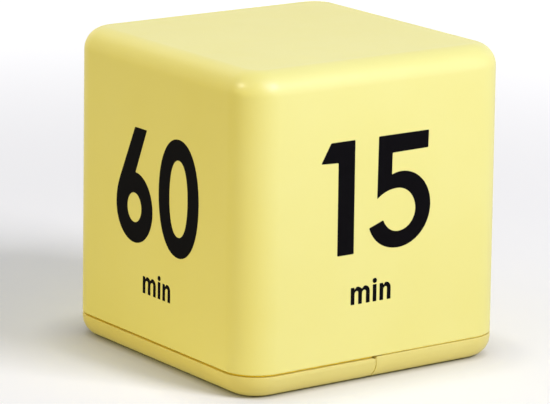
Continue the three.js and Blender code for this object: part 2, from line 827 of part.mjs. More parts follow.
function buzzer() {
  const [x, y] = buzzerSpot;
  const seat = baseWall + discSeat;
  const disc = rod(discRadius, 0, discThickness, 0, 0, 2 * roundSides);
  const film = rod(ceramicRadius, 0, ceramicThickness, 0, 0, 2 * roundSides);
  const foamLow = seat + discThickness;
  const ring = rod(discRadius, 0, boardBase - foamLow).subtract(
    rod(discRadius - foamWall, -overrun, boardBase - foamLow + overrun));
  return [
    piece('buzzer_disc', disc, brassSheet, x, y, seat),
    piece('buzzer_ceramic', film, ceramicFilm, x, y, foamLow),
    piece('foam_ring', ring, foam, x, y, foamLow),
  ];
}

// Tilt switch: a steel ball in a can that leans up and outwards, closed by a plug on two pins

function tiltCan() {
  const inner = canRadius - canWall;
  const profile = [[inner, 0], [canRadius, 0], [canRadius, canLength], [0, canLength],
    [0, canLength - canWall], [inner, canLength - canWall], [inner, 0]];
  const points = profile.map(([radius, height]) => new THREE.Vector2(radius, height));
  const geometry = new THREE.LatheGeometry(points, smallSides);
  geometry.rotateX(rightAngle);
  return solidOf(geometry);
}

function tiltPlug() {
  const spigot = canRadius - canWall - clearance;
  const profile = [[0, 0], [canRadius, 0], [canRadius, plugFlange], [spigot, plugFlange],
    [spigot, plugFlange + plugSpigot], [0, plugFlange + plugSpigot]];
  const drop = tiltLift + boardThickness + pinStub;
  const pins = [pinSpread, -pinSpread].map((side) => {
    const pin = new THREE.CylinderGeometry(pinRadius, pinRadius, drop, pinSides);
    pin.rotateX(rightAngle);
    pin.translate(plugFlange / 2, side, -drop / 2);
    pin.rotateY(tiltAngle - rightAngle);
    return solidOf(pin);
  });
  return joined([turned(profile, smallSides), ...pins]);
}

function tiltSwitches() {
  const [middleX, middleY] = tiltSpot;
  const canFoot = plugFlange + clearance;
  const ballRest = plugFlange + plugSpigot + clearance + ballRadius;
  const can = tiltCan();
  const plug = tiltPlug();
  const ball = solidOf(new THREE.SphereGeometry(ballRadius, smallSides, smallSides / 2));
  const group = new THREE.Group();
  for (let quarter = 0; quarter < 4; quarter += 1) {
    const turn = new THREE.Group();
    turn.position.set(middleX, middleY, boardTop + tiltLift);
    turn.rotation.z = quarter * rightAngle;
    const lean = new THREE.Group();
    lean.position.x = tiltOut;
    lean.rotation.y = rightAngle - tiltAngle;
    const label = quarter + 1;
    lean.add(piece(`tilt_can_${label}`, can, tinnedSteel, 0, 0, canFoot));
    lean.add(piece(`tilt_plug_${label}`, plug, blackPlastic));
    lean.add(piece(`tilt_ball_${label}`, ball, springSteel, 0, 0, ballRest));
    turn.add(lean);
    group.add(turn);
  }
  return group;
}

// Cells, their contacts and springs

function cellSolid() {
  const body = cellLength - cellNubHeight - cellRimHeight;
  const rim = (cellRadius + cellNubRadius) / 2;
  const nubEdge = cellLength - cellRimHeight;
  const profile = [[0, 0], [cellRadius - cellEdge, 0], [cellRadius, cellEdge], [cellRadius, body - cellEdge],
    [cellRadius - cellEdge, body], [rim, body + cellRimHeight], [cellNubRadius, body + cellRimHeight],
    [cellNubRadius, nubEdge], [cellNubRadius - cellRimHeight, cellLength], [0, cellLength]];
  return turned(profile, roundSides);
}

function cells() {
  const solid = cellSolid();
  return cellXs.map((x, index) => {
    const sign = index === 0 ? 1 : -1;
    const foot = sign * (cellShift - cellLength / 2);
    const mesh = piece(`battery_${index + 1}`, solid, cellSleeve, x, foot, cellAxis);
    mesh.rotation.x = -sign * rightAngle;
    return mesh;
  });
}

function contactPlate(halfWidth) {
  return slab(2 * halfWidth, sheet, -contactHalfHeight, contactHalfHeight);
}

function contacts() {
  const [left, right] = cellXs;
  const y = sheet / 2 - bayHalf;
  const tab = slab(tabWidth, sheet, 0, pocketRise + trayWall + tabTop);
  const single = contactPlate(contactHalfWidth).add(tab);
  const bridge = contactPlate(contactHalfWidth + (right - left) / 2);
  return [
    piece('contact_minus', single, tinnedSteel, left, y, cellAxis),
    piece('contact_plus', single, tinnedSteel, right, y, cellAxis),
    piece('contact_bridge', bridge, tinnedSteel, (left + right) / 2, -y, cellAxis),
  ];
}

function tube(rings) {
  const sides = rings[0].length;
  const positions = rings.flat().flatMap((point) => point.toArray());
  const faces = [];
  for (let level = 0; level + 1 < rings.length; level += 1) {
    for (let side = 0; side < sides; side += 1) {
      const next = (side + 1) % sides;
      const [low, high] = [level * sides, (level + 1) * sides];
      faces.push(low + side, low + next, high + next, low + side, high + next, high + side);
    }
  }
  const last = (rings.length - 1) * sides;
  for (let side = 1; side + 1 < sides; side += 1) {
    faces.push(0, side + 1, side, last, last + side, last + side + 1);
  }
  const geometry = new THREE.BufferGeometry();
  geometry.setAttribute('position', new THREE.Float32BufferAttribute(positions, 3));
  geometry.setIndex(faces);
  return solidOf(geometry);
}

const springHeight = springRoom - sheet - 2 * (clearance + springWire);

function springPoint(share) {
  const angle = share * springTurns * 2 * Math.PI;
  const radius = springBase + (springTip - springBase) * share;
  return new THREE.Vector3(radius * Math.cos(angle), radius * Math.sin(angle), springHeight * share);
}

// A conical compression spring along +Z, wound as one unbroken wire
function springSolid() {
  const steps = Math.round(springTurns * springSteps);
  const rings = [];
  for (let step = 0; step <= steps; step += 1) {
    const centre = springPoint(step / steps);
    const along = springPoint((step + 0.5) / steps).sub(springPoint((step - 0.5) / steps)).normalize();
    const out = new THREE.Vector3(centre.x, centre.y, 0).normalize();
    const across = new THREE.Vector3().crossVectors(along, out).normalize();
    const level = new THREE.Vector3().crossVectors(across, along);
    const ring = [];
    for (let side = 0; side < springSides; side += 1) {
      const angle = side / springSides * 2 * Math.PI;
      ring.push(centre.clone().addScaledVector(level, springWire * Math.cos(angle))
        .addScaledVector(across, springWire * Math.sin(angle)));
    }
    rings.push(ring);
  }
  return tube(rings);
}

// The least gap between one turn of the spring and the next, measured on points along the wire
function springGap() {
  const perTurn = 4 * springSteps;
  const count = Math.round(springTurns * perTurn);
  const points = Array.from({ length: count + 1 }, (_, at) => springPoint(at / count));
  let least = Infinity;
  points.forEach((point, at) => {
    points.slice(at + perTurn / 2).forEach((other) => {
      least = Math.min(least, point.distanceTo(other));
    });
  });
  return least - 2 * springWire;
}

function springs() {
  const gap = springGap();
  console.log(`least gap in a contact spring: ${gap.toFixed(2)} mm, wanted over ${leastSpringGap} mm`);
  const solid = springSolid();
  const foot = bayHalf - sheet - clearance - springWire;
  return cellXs.map((x, index) => {
    const sign = index === 0 ? 1 : -1;
    const mesh = piece(`contact_spring_${index + 1}`, solid, springSteel, x, -sign * foot, cellAxis);
    mesh.rotation.x = -sign * rightAngle;
    return mesh;
  });
}

// Leads: from the contacts' tabs over the tray to the board, and from the buzzer to the board

function lead(name, radius, finish, route, steps) {
  const path = new THREE.CatmullRomCurve3(route.map((point) => new THREE.Vector3(...point)));
  const section = new THREE.Shape();
  section.absarc(0, 0, radius, 0, 2 * Math.PI, false);
  const settings = { steps, extrudePath: path, curveSegments: leadSides / 2, bevelEnabled: false };
  return piece(name, new THREE.ExtrudeGeometry(section, settings), finish);
}

function leads() {
  const tabEnd = cellAxis + pocketRise + trayWall + tabTop;
  const arch = tabEnd + leadRise;
  const start = sheet / 2 - bayHalf;
  const [left, right] = cellXs;
  const [redX, redY] = spot(redPadShares);
  const [blackX, blackY] = spot(blackPadShares);
  const foot = boardTop + clearance;
  const redRoute = [
    [right, start, tabEnd + clearance],
    [right, start, tabEnd + leadRise / 2],
    [(right + redX) / 2, (start + redY) / 2, arch],
    [redX, redY, tabEnd],
    [redX, redY, foot],
  ];
  const blackRoute = [
    [left, start, tabEnd + clearance],
    [left, start, tabEnd + leadRise / 2],
    [(2 * left + right) / 3, (2 * start + blackY) / 3, arch],
    [(left + 2 * right) / 3, (start + 2 * blackY) / 3, arch],
    [blackX, blackY, tabEnd],
    [blackX, blackY, foot],
  ];
  return [
    lead('lead_red', leadRadius, redSleeve, redRoute, redLeadSteps),
    lead('lead_black', leadRadius, blackSleeve, blackRoute, blackLeadSteps),
  ];
}

function buzzerLeads() {
  const [x, y] = buzzerSpot;
  const low = baseWall + discSeat + discThickness + ceramicThickness + clearance;
  const high = boardBase - clearance;
  const middle = (low + high) / 2;
  return [1, -1].map((sign, index) => {
    const [near, far] = [x + sign * buzzerLeadSpread, x + 2 * sign * buzzerLeadSpread];
    const route = [[near, y, low], [near, y, middle], [far, y, middle + clearance], [far, y, high]];
    const sleeve = index ? blackSleeve : redSleeve;
    return lead(`buzzer_lead_${index + 1}`, buzzerLeadRadius, sleeve, route, buzzerLeadSteps);
  });
}

const timer = new THREE.Group();
timer.add(mainHousing(), baseCover(), batteryDoor());
timer.add(lcdWindow(), lcdPanel(), lcdHolder(), zebraStrip());
timer.add(circuitBoard(), chipBlob(), crystalCan(), capacitor(), boostCoil());
timer.add(switchFrame(), switchKnob(), ...buzzer(), tiltSwitches());
timer.add(...cells(), ...contacts(), ...springs(), ...leads(), ...buzzerLeads());
timer.add(...coverScrews(), ...boardScrews());

export default timer;
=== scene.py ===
import json
import math

import bmesh
import bpy
from mathutils import Matrix, Vector


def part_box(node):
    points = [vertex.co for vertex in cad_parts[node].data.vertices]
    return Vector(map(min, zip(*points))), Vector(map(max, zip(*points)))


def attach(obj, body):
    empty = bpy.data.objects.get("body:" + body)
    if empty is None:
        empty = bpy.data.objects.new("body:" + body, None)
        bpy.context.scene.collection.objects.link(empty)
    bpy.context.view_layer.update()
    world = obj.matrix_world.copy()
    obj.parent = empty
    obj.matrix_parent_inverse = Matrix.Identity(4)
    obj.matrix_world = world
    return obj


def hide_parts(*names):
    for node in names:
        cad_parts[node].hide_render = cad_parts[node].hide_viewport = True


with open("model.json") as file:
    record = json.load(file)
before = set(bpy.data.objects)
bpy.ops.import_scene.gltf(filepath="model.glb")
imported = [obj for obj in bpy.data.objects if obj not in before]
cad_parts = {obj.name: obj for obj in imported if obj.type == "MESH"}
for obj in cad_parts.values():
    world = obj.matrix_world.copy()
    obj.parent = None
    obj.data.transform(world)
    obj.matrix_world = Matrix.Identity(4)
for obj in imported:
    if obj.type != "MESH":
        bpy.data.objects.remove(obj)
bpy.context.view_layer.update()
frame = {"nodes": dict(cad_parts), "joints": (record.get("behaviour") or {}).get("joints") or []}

mm = 0.001
up = Vector((0, 0, 1))
print("frame loaded:", len(frame["nodes"]), "nodes")


# The cube's outer form, in millimetres; its width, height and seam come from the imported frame
cube = {
    "draft": 0.23,  # each side leans in this far over the whole height
    "cornerRadius": 7.4,
    "topRadius": 4.6,
    "baseRadius": 3.9,
    "wall": 2.0,
    "rimRadius": 0.22,
    "leastRadius": 0.3,
}


def boxOf(node):
    low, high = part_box(node)
    return low / mm, high / mm


def middleOf(node):
    low, high = boxOf(node)
    return (low + high) / 2


def footOf(node):
    return Vector((*middleOf(node).xy, boxOf(node)[0].z))


housingLow, housingHigh = boxOf("main_housing")
cubeHeight, seamHeight = housingHigh.z, housingLow.z
halfBase = housingHigh.x + cube["draft"] * seamHeight / cubeHeight


def halfWidthAt(z):
    return halfBase - cube["draft"] * z / cubeHeight


def facing(azimuthDegrees, elevationDegrees=0):
    azimuth, elevation = math.radians(azimuthDegrees), math.radians(elevationDegrees)
    return Vector((math.sin(azimuth) * math.cos(elevation), -math.cos(azimuth) * math.cos(elevation),
                   math.sin(elevation)))


# Meshes: a body is a list of points in millimetres and a list of faces, and an object may hold several

weldDistance = 0.0005 * mm
flatDegrees = 0.3  # facets of a CAD face that turn by less than this join up
roundDegrees = 60  # on small round parts only sharper turns than this stay sharp


def linked(name, data):
    obj = bpy.data.objects.new(name, data)
    bpy.context.scene.collection.objects.link(obj)
    return obj


# Turns the faces outwards and keeps only real edges sharp
def shaded(obj, sharpDegrees=35):
    work = bmesh.new()
    work.from_mesh(obj.data)
    bmesh.ops.remove_doubles(work, verts=work.verts, dist=weldDistance)
    bmesh.ops.recalc_face_normals(work, faces=work.faces)
    work.to_mesh(obj.data)
    work.free()
    obj.data.polygons.foreach_set("use_smooth", [True] * len(obj.data.polygons))
    obj.data.set_sharp_from_angle(angle=math.radians(sharpDegrees))
    return obj


# Large faces stay flat right up to the roundings beside them
def weighted(obj):
    normals = obj.modifiers.new("edge normals", "WEIGHTED_NORMAL")
    normals.keep_sharp = True
    normals.weight = 100
    return obj


# A body's third entry, if it has one, is the slot of its finish
def meshOf(name, bodies, sharpDegrees=35):
    points, faces, slots = [], [], []
    for body in bodies:
        bodyPoints, bodyFaces = body[:2]
        faces += [[len(points) + at for at in face] for face in bodyFaces]
        slots += [body[2] if len(body) > 2 else 0] * len(bodyFaces)
        points += bodyPoints
    mesh = bpy.data.meshes.new(name)
    mesh.from_pydata([Vector(p) * mm for p in points], [], faces)
    mesh.polygons.foreach_set("material_index", slots)
    return shaded(linked(name, mesh), sharpDegrees)


def ringFaces(rings, sides):
    faces = []
    for lower, upper in zip(rings, rings[1:]):
        for at in range(sides):
            after = (at + 1) % sides
            corners = [lower[at % len(lower)], lower[after % len(lower)],
                       upper[after % len(upper)], upper[at % len(upper)]]
            faces.append(list(dict.fromkeys(corners)))
    return [face for face in faces if len(face) > 2]


# A body between two outlines with the same number of points; its last two faces are the ends
def between(first, second):
    count = len(first)
    rings = [list(range(count)), list(range(count, 2 * count))]
    return [*first, *second], ringFaces(rings, count) + [rings[0][::-1], rings[1]]


def block(low, high, turnDegrees=0, about=(0, 0)):
    pivot = Vector((*about, 0))
    turn = Matrix.Rotation(math.radians(turnDegrees), 3, "Z")
    corners = [(low[0], low[1]), (high[0], low[1]), (high[0], high[1]), (low[0], high[1])]
    return between(*[[pivot + turn @ Vector((x, y, z)) for x, y in corners] for z in (low[2], high[2])])


# A body of revolution, from (radius, height) pairs that start and end on the axis or close on themselves
def turned(profile, foot, along=up, sides=48):
    across = along.orthogonal().normalized()
    beside = along.cross(across)
    points, rings = [], []
    for radius, height in profile:
        centre = foot + along * height
        count = sides if radius else 1
        rings.append(list(range(len(points), len(points) + count)))
        for at in range(count):
            angle = at / sides * math.tau
            points.append(centre + (across * math.cos(angle) + beside * math.sin(angle)) * radius)
    return points, ringFaces(rings, sides)


# Rounds the sharp turns of an outline
def eased(outline, radius, closed=True, steps=3, leastTurn=35):
    points = [Vector(p) for p in outline]
    result = []
    for at, here in enumerate(points):
        before, after = points[at - 1] - here, points[(at + 1) % len(points)] - here
        isEnd = not closed and at in (0, len(points) - 1)
        if isEnd or math.pi - before.angle(after) < math.radians(leastTurn):
            result.append(tuple(here))
            continue
        reach = min(radius, before.length / 2, after.length / 2)
        start, end = here + before.normalized() * reach, here + after.normalized() * reach
        for step in range(steps + 1):
            t = step / steps
            result.append(tuple(start * (1 - t) ** 2 + here * 2 * t * (1 - t) + end * t * t))
    return result


def easedTurned(profile, radius, foot, along=up, sides=48):
    return turned(eased(profile, radius, closed=False), foot, along, sides)


def arcPoints(centre, radius, start, end, steps):
    angles = [math.radians(start + (end - start) * step / steps) for step in range(steps + 1)]
    return [(centre[0] + radius * math.cos(a), centre[1] + radius * math.sin(a)) for a in angles]


# A CAD solid as one welded mesh, to be shown in the node's place
def weldedCopy(name, node):
    obj = linked(name, frame["nodes"][node].data.copy())
    obj.data.materials.clear()
    work = bmesh.new()
    work.from_mesh(obj.data)
    bmesh.ops.remove_doubles(work, verts=work.verts, dist=weldDistance)
    bmesh.ops.dissolve_limit(work, angle_limit=math.radians(flatDegrees), verts=work.verts, edges=work.edges)
    work.to_mesh(obj.data)
    work.free()
    return shaded(obj)


# Rounds the sharp edges that a test of their two ends picks
def easedEdges(obj, width, picks):
    mesh = obj.data
    weights = mesh.attributes.new("bevel_weight_edge", "FLOAT", "EDGE")
    for edge in mesh.edges:
        ends = [mesh.vertices[at].co / mm for at in edge.vertices]
        if edge.use_edge_sharp and picks(*ends):
            weights.data[edge.index].value = 1.0
    bevel = obj.modifiers.new("eased edges", "BEVEL")
    bevel.limit_method = "WEIGHT"
    bevel.width = width * mm
    bevel.segments = 2
    bevel.use_clamp_overlap = False
    return obj


# Adds a node with its settings, and joins or sets its inputs
def addNode(tree, kind, inputs=None, **settings):
    made = tree.nodes.new(kind)
    for name, value in settings.items():
        setattr(made, name, value)
    for name, value in (inputs or {}).items():
        socket = made.inputs[name]
        if isinstance(value, bpy.types.NodeSocket):
            tree.links.new(value, socket)
        else:
            socket.default_value = value
    return made


# Geometry nodes: a round wire along a path, and one shape at every point

def newShapeTree(name, inputs):
    tree = bpy.data.node_groups.new(name, "GeometryNodeTree")
    tree.interface.new_socket("Geometry", in_out="INPUT", socket_type="NodeSocketGeometry")
    for label, kind in {**inputs, "Finish": "NodeSocketMaterial"}.items():
        tree.interface.new_socket(label, in_out="INPUT", socket_type=kind)
    tree.interface.new_socket("Geometry", in_out="OUTPUT", socket_type="NodeSocketGeometry")
    return tree, addNode(tree, "NodeGroupInput").outputs


def closeShapeTree(tree, start, shape):
    solid = addNode(tree, "GeometryNodeRealizeInstances", {"Geometry": shape})
    dress = addNode(tree, "GeometryNodeSetMaterial", {
        "Geometry": solid.outputs["Geometry"], "Material": start["Finish"]})
    addNode(tree, "NodeGroupOutput", {"Geometry": dress.outputs["Geometry"]})
    return tree


def wireTree():
    tree, start = newShapeTree("wire along a path", {
        "Wire radius": "NodeSocketFloat", "Sides": "NodeSocketInt"})
    path = addNode(tree, "GeometryNodeMeshToCurve", {"Mesh": start["Geometry"]})
    section = addNode(tree, "GeometryNodeCurvePrimitiveCircle", {
        "Radius": start["Wire radius"], "Resolution": start["Sides"]}, mode="RADIUS")
    wire = addNode(tree, "GeometryNodeCurveToMesh", {
        "Curve": path.outputs["Curve"], "Profile Curve": section.outputs["Curve"], "Fill Caps": True})
    return closeShapeTree(tree, start, wire.outputs["Mesh"])


def spotsTree():
    tree, start = newShapeTree("one shape at every point", {
        "Shape": "NodeSocketObject", "Tip over": "NodeSocketFloat"})
    shape = addNode(tree, "GeometryNodeObjectInfo", {"Object": start["Shape"]})
    tip = addNode(tree, "ShaderNodeCombineXYZ", {"X": start["Tip over"]})
    placed = addNode(tree, "GeometryNodeInstanceOnPoints", {
        "Points": start["Geometry"], "Instance": shape.outputs["Geometry"], "Rotation": tip.outputs[0]})
    return closeShapeTree(tree, start, placed.outputs["Instances"])


# The mesh that an object's modifiers, or a curve's fill, come to
def resultOf(obj):
    return bpy.data.meshes.new_from_object(obj.evaluated_get(bpy.context.evaluated_depsgraph_get()))


# Runs a tree on a few points and keeps the result as a plain mesh
def grown(name, points, edges, tree, inputs):
    mesh = bpy.data.meshes.new(name)
    mesh.from_pydata([Vector(p) * mm for p in points], edges, [])
    source = linked(name + "_path", mesh)
    modifier = source.modifiers.new("shape", "NODES")
    modifier.node_group = tree
    for socket in tree.interface.items_tree:
        if socket.in_out == "INPUT" and socket.name in inputs:
            modifier[socket.identifier] = inputs[socket.name]
    made = resultOf(source)
    source.modifiers.remove(modifier)
    bpy.data.objects.remove(source)
    return shaded(linked(name, made))


# Materials

def colour(hexValue):
    channels = [int(hexValue[at:at + 2], 16) / 255 for at in (1, 3, 5)]
    linear = [c / 12.92 if c <= 0.04045 else ((c + 0.055) / 1.055) ** 2.4 for c in channels]
    return (*linear, 1.0)


# A pattern's scale from the real size of one of its cells
def perCell(sizeMm):
    return 1 / (sizeMm * mm)


def newMaterial(name):
    material = bpy.data.materials.new(name)
    material.use_nodes = True
    material.node_tree.nodes.clear()
    place = addNode(material.node_tree, "ShaderNodeTexCoord").outputs["Object"]
    return material, material.node_tree, place


# Two close tones and the size of their patches, the roughness from and to, the grain's size and height; all
# lengths in millimetres
def surface(light, deep, patchMm, rough, grainMm, heightMm, **more):
    return {"light": light, "deep": deep, "patchMm": patchMm, "rough": rough, "grainMm": grainMm,
            "heightMm": heightMm, **more}


# ABS from a lightly spark-eroded mould: satin, with a fine even grain and slow clouds in the tone and gloss.
# The real grain is finer; it is drawn this coarse so that it shows
def mouldedAbs(light, deep, **more):
    return surface(light, deep, 22, (0.32, 0.4), 0.34, 0.005, detail=2.0, rubMm=6, **more)


# A stretch draws the patches out along one axis, as rolling and drawing do
finishLooks = {
    "moulded ABS": mouldedAbs("#f5ea82", "#f1e474"),
    # The cover and the door: the same ABS a touch deeper, painted shade for the low band that faces the floor
    "moulded ABS, band": mouldedAbs("#ecdc77", "#e9d66a"),
    # Painted glow: a deeper gold on the step faces in the seam, for light that would come through the thin
    # wall
    "moulded ABS, painted seam glow": mouldedAbs("#ffe026", "#fdd81a", specular=0.1),
    # Ink, pad printed: a thin, nearly black film that stays matt, with an uneven coat
    "pad-printed ink": surface("#060505", "#0e0c0b", 1.2, (0.5, 0.62), None, None, specular=0.03),
    # HIPS, moulded: matt white with a faint cloud
    "moulded white HIPS": surface("#eceae4", "#e0ddd4", 5, (0.42, 0.55), 0.3, 0.004, ior=1.59),
    # POM, moulded: black and slightly greasy, grey where a nail rubs it
    "moulded black POM": surface("#1b1b1d", "#29292b", 0.9, (0.28, 0.44), 0.25, 0.004, ior=1.48),
    # Epoxy, poured over the chip: black glass with a slow swell
    "poured epoxy": surface("#0e0e10", "#17171a", 2.4, (0.1, 0.22), 2.2, 0.05, ior=1.55),
    # Tinned steel, deep drawn: bright, with streaks along the draw
    "tinned steel": surface("#d3d4d5", "#b4b6b8", 0.8, (0.2, 0.36), 0.15, 0.002, metallic=1.0,
                            stretch=(1, 1, 0.2)),
    # Nickel-plated spring wire, cold drawn: a clean grey shine along the wire
    "plated spring wire": surface("#cfccc4", "#b1aea6", 0.5, (0.16, 0.3), 0.1, 0.001, metallic=1.0),
    # Zinc-plated screw steel: a cooler shine with yellow-grey clouds
    "zinc-plated steel": surface("#c9cbcb", "#a9a896", 0.9, (0.24, 0.42), 0.12, 0.003, metallic=1.0),
    # Brass sheet, rolled: warm, with long rolling marks and a little tarnish
    "rolled brass": surface("#d8b868", "#a9853c", 1.6, (0.22, 0.42), 0.12, 0.002, metallic=1.0,
                            stretch=(0.15, 1, 1)),
    # Silver electrode fired on ceramic: pale, chalky and barely shiny
    "fired silver": surface("#e4e1d6", "#cfcabb", 0.7, (0.45, 0.6), 0.12, 0.004, metallic=0.6),
    # Polyurethane foam, die cut: soft black with open cells
    "cut foam": surface("#2d2d2f", "#161617", 0.35, (0.9, 1.0), 0.35, 0.12, ior=1.45),
    # Polarising film on the display's glass: grey-green, with a soft sheen
    "polarising film": surface("#8f9a8b", "#869182", 7, (0.22, 0.3), 0.2, 0.001),
    # The display's dormant segments: a breath darker than the film
    "dormant segments": surface("#7f8a7c", "#788375", 2, (0.24, 0.32), 0.2, 0.001),
    # PVC sleeve on wire, extruded: smooth with faint die lines
    "red PVC sleeve": surface("#bb2a20", "#a2221a", 1.5, (0.36, 0.48), 0.2, 0.004, ior=1.53),
    "black PVC sleeve": surface("#1a1a1a", "#262626", 1.5, (0.36, 0.5), 0.2, 0.004, ior=1.53),
    # PET film shrunk round a cell: dark and glossy, with a copper-coloured end
    "dark shrink film": surface("#31363d", "#3a4048", 6, (0.2, 0.3), 2.5, 0.006, ior=1.57),
    "copper shrink film": surface("#b5713a", "#9c5c2c", 4, (0.2, 0.3), 1.2, 0.008, metallic=0.7),
    # Enamelled copper wire: deep orange-red under a clear coat
    "enamelled copper": surface("#b4572a", "#8f3f1c", 0.6, (0.18, 0.3), 0.1, 0.001, metallic=0.9),
    # Pressed ferrite: dark grey and dry, with fine pits
    "pressed ferrite": surface("#3b3a3a", "#2b2a2a", 0.8, (0.6, 0.78), 0.12, 0.01, ior=1.9),
    # Printed sleeve of an electrolytic capacitor: dark blue, glossy
    "capacitor sleeve": surface("#1d2b4a", "#172239", 1.4, (0.18, 0.3), 0.5, 0.004, ior=1.55),
}


noiseDetail = {"patch": 3.0, "rub": 4.0, "rubRoughness": 0.6, "grain": 2.0}


def makeFinish(name, look):
    material, tree, place = newMaterial(name)
    stretched = addNode(tree, "ShaderNodeMapping", {
        "Vector": place, "Scale": look.get("stretch", (1, 1, 1))})
    patch = addNode(tree, "ShaderNodeTexNoise", {
        "Vector": stretched.outputs["Vector"], "Scale": perCell(look["patchMm"]),
        "Detail": look.get("detail", noiseDetail["patch"])})
    tint = addNode(tree, "ShaderNodeMix", {
        0: patch.outputs["Fac"], 6: colour(look["light"]), 7: colour(look["deep"])}, data_type="RGBA")
    rub = patch
    if "rubMm" in look:
        rub = addNode(tree, "ShaderNodeTexNoise", {
            "Vector": place, "Scale": perCell(look["rubMm"]), "Detail": noiseDetail["rub"],
            "Roughness": noiseDetail["rubRoughness"]})
    rough = addNode(tree, "ShaderNodeMapRange", {
        "Value": rub.outputs["Fac"], "To Min": look["rough"][0], "To Max": look["rough"][1]})
    inputs = {
        "Base Color": tint.outputs[2], "Roughness": rough.outputs["Result"],
        "Metallic": look.get("metallic", 0.0), "IOR": look.get("ior", 1.5),
        "Specular IOR Level": look.get("specular", 0.5)}
    if look["grainMm"]:
        grain = addNode(tree, "ShaderNodeTexNoise", {
            "Vector": place, "Scale": perCell(look["grainMm"]), "Detail": noiseDetail["grain"]})
        bump = addNode(tree, "ShaderNodeBump", {
            "Height": grain.outputs["Fac"], "Strength": 1.0, "Distance": look["heightMm"] * mm})
        inputs["Normal"] = bump.outputs["Normal"]
    shader = addNode(tree, "ShaderNodeBsdfPrincipled", inputs)
    addNode(tree, "ShaderNodeOutputMaterial", {"Surface": shader.outputs["BSDF"]})
    return material


# Cast acrylic, polished: clear, with hairline scratches that only the gloss shows
castAcrylic = {"tint": "#f4f8f6", "scratchMm": 3.0, "scratchWidth": 0.02, "smooth": 0.02, "scratched": 0.16,
               "ior": 1.49}


def makeCastAcrylic():
    material, tree, place = newMaterial("cast acrylic")
    scratch = addNode(tree, "ShaderNodeTexVoronoi", {
        "Vector": place, "Scale": perCell(castAcrylic["scratchMm"])}, feature="DISTANCE_TO_EDGE")
    rough = addNode(tree, "ShaderNodeMapRange", {
        "Value": scratch.outputs["Distance"], "From Min": 0.0, "From Max": castAcrylic["scratchWidth"],
        "To Min": castAcrylic["scratched"], "To Max": castAcrylic["smooth"]})
    shader = addNode(tree, "ShaderNodeBsdfPrincipled", {
        "Base Color": colour(castAcrylic["tint"]), "Roughness": rough.outputs["Result"],
        "IOR": castAcrylic["ior"], "Transmission Weight": 1.0})
    clear = addNode(tree, "ShaderNodeBsdfTransparent", {"Color": colour(castAcrylic["tint"])})
    shadow = addNode(tree, "ShaderNodeLightPath").outputs["Is Shadow Ray"]  # light passes on to the display
    mix = addNode(tree, "ShaderNodeMixShader", {0: shadow, 1: shader.outputs[0], 2: clear.outputs[0]})
    addNode(tree, "ShaderNodeOutputMaterial", {"Surface": mix.outputs[0]})
    return material


# Zebra strip: silicone in thin layers, every second one filled with carbon
zebra = {"clear": "#77777c", "carbon": "#1d1d20", "layerMm": 0.5, "rough": 0.62, "ior": 1.41}


def makeZebra():
    material, tree, place = newMaterial("layered silicone")
    layers = addNode(tree, "ShaderNodeTexWave", {
        "Vector": place, "Scale": perCell(zebra["layerMm"]) / math.tau, "Distortion": 0.0},
        wave_type="BANDS", bands_direction="Y")
    tint = addNode(tree, "ShaderNodeMix", {
        0: layers.outputs["Fac"], 6: colour(zebra["clear"]), 7: colour(zebra["carbon"])}, data_type="RGBA")
    shader = addNode(tree, "ShaderNodeBsdfPrincipled", {
        "Base Color": tint.outputs[2], "Roughness": zebra["rough"], "IOR": zebra["ior"]})
    addNode(tree, "ShaderNodeOutputMaterial", {"Surface": shader.outputs["BSDF"]})
    return material


# Paper laminate under green solder mask: tracks show as paler, raised lines
board = {"mask": "#1f5a34", "track": "#37804c", "trackMm": 2.1, "trackWidth": 0.16, "trackEdge": 0.2,
         "runLength": 2.5, "rowHeight": 0.6, "trackHeightMm": 0.035, "rough": (0.4, 0.28), "ior": 1.5}


def makeBoard():
    material, tree, place = newMaterial("masked laminate")
    tracks = addNode(tree, "ShaderNodeTexBrick", {
        "Vector": place, "Scale": perCell(board["trackMm"]), "Mortar Size": board["trackWidth"],
        "Mortar Smooth": board["trackEdge"], "Brick Width": board["runLength"],
        "Row Height": board["rowHeight"]})
    rough = addNode(tree, "ShaderNodeMapRange", {
        "Value": tracks.outputs["Fac"], "To Min": board["rough"][0], "To Max": board["rough"][1]})
    tint = addNode(tree, "ShaderNodeMix", {
        0: tracks.outputs["Fac"], 6: colour(board["mask"]), 7: colour(board["track"])}, data_type="RGBA")
    bump = addNode(tree, "ShaderNodeBump", {
        "Height": tracks.outputs["Fac"], "Strength": 1.0, "Distance": board["trackHeightMm"] * mm})
    shader = addNode(tree, "ShaderNodeBsdfPrincipled", {
        "Base Color": tint.outputs[2], "Roughness": rough.outputs["Result"], "IOR": board["ior"],
        "Normal": bump.outputs["Normal"]})
    addNode(tree, "ShaderNodeOutputMaterial", {"Surface": shader.outputs["BSDF"]})
    return material


finish = {name: makeFinish(name, look) for name, look in finishLooks.items()}
finish["cast acrylic"] = makeCastAcrylic()
finish["layered silicone"] = makeZebra()
finish["masked laminate"] = makeBoard()
print("materials made:", len(finish))


# Gives an object its finishes, its body and the nodes that it stands in for
def dressed(obj, names, body, replaced=()):
    if obj.data.materials:
        obj.data.materials.clear()  # this also sends every face back to the first slot
    for name in [names] if isinstance(names, str) else names:
        obj.data.materials.append(finish[name])
    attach(obj, body)
    if replaced:
        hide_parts(*replaced)
    return obj


# Camera at the photograph's viewpoint
shot = {
    "azimuth": -35.5193,
    "elevation": 13.5989,
    "distance": 713.468,
    "focalPixels": 3540.64,
    "imageWidth": 550,
    "roll": 0.7859,
    "sideways": -2.2929,
    "upwards": -2.3687,
    "aimHeight": 31.75,
    "sensor": 36.0,
    "near": 0.02,
    "far": 50,
}


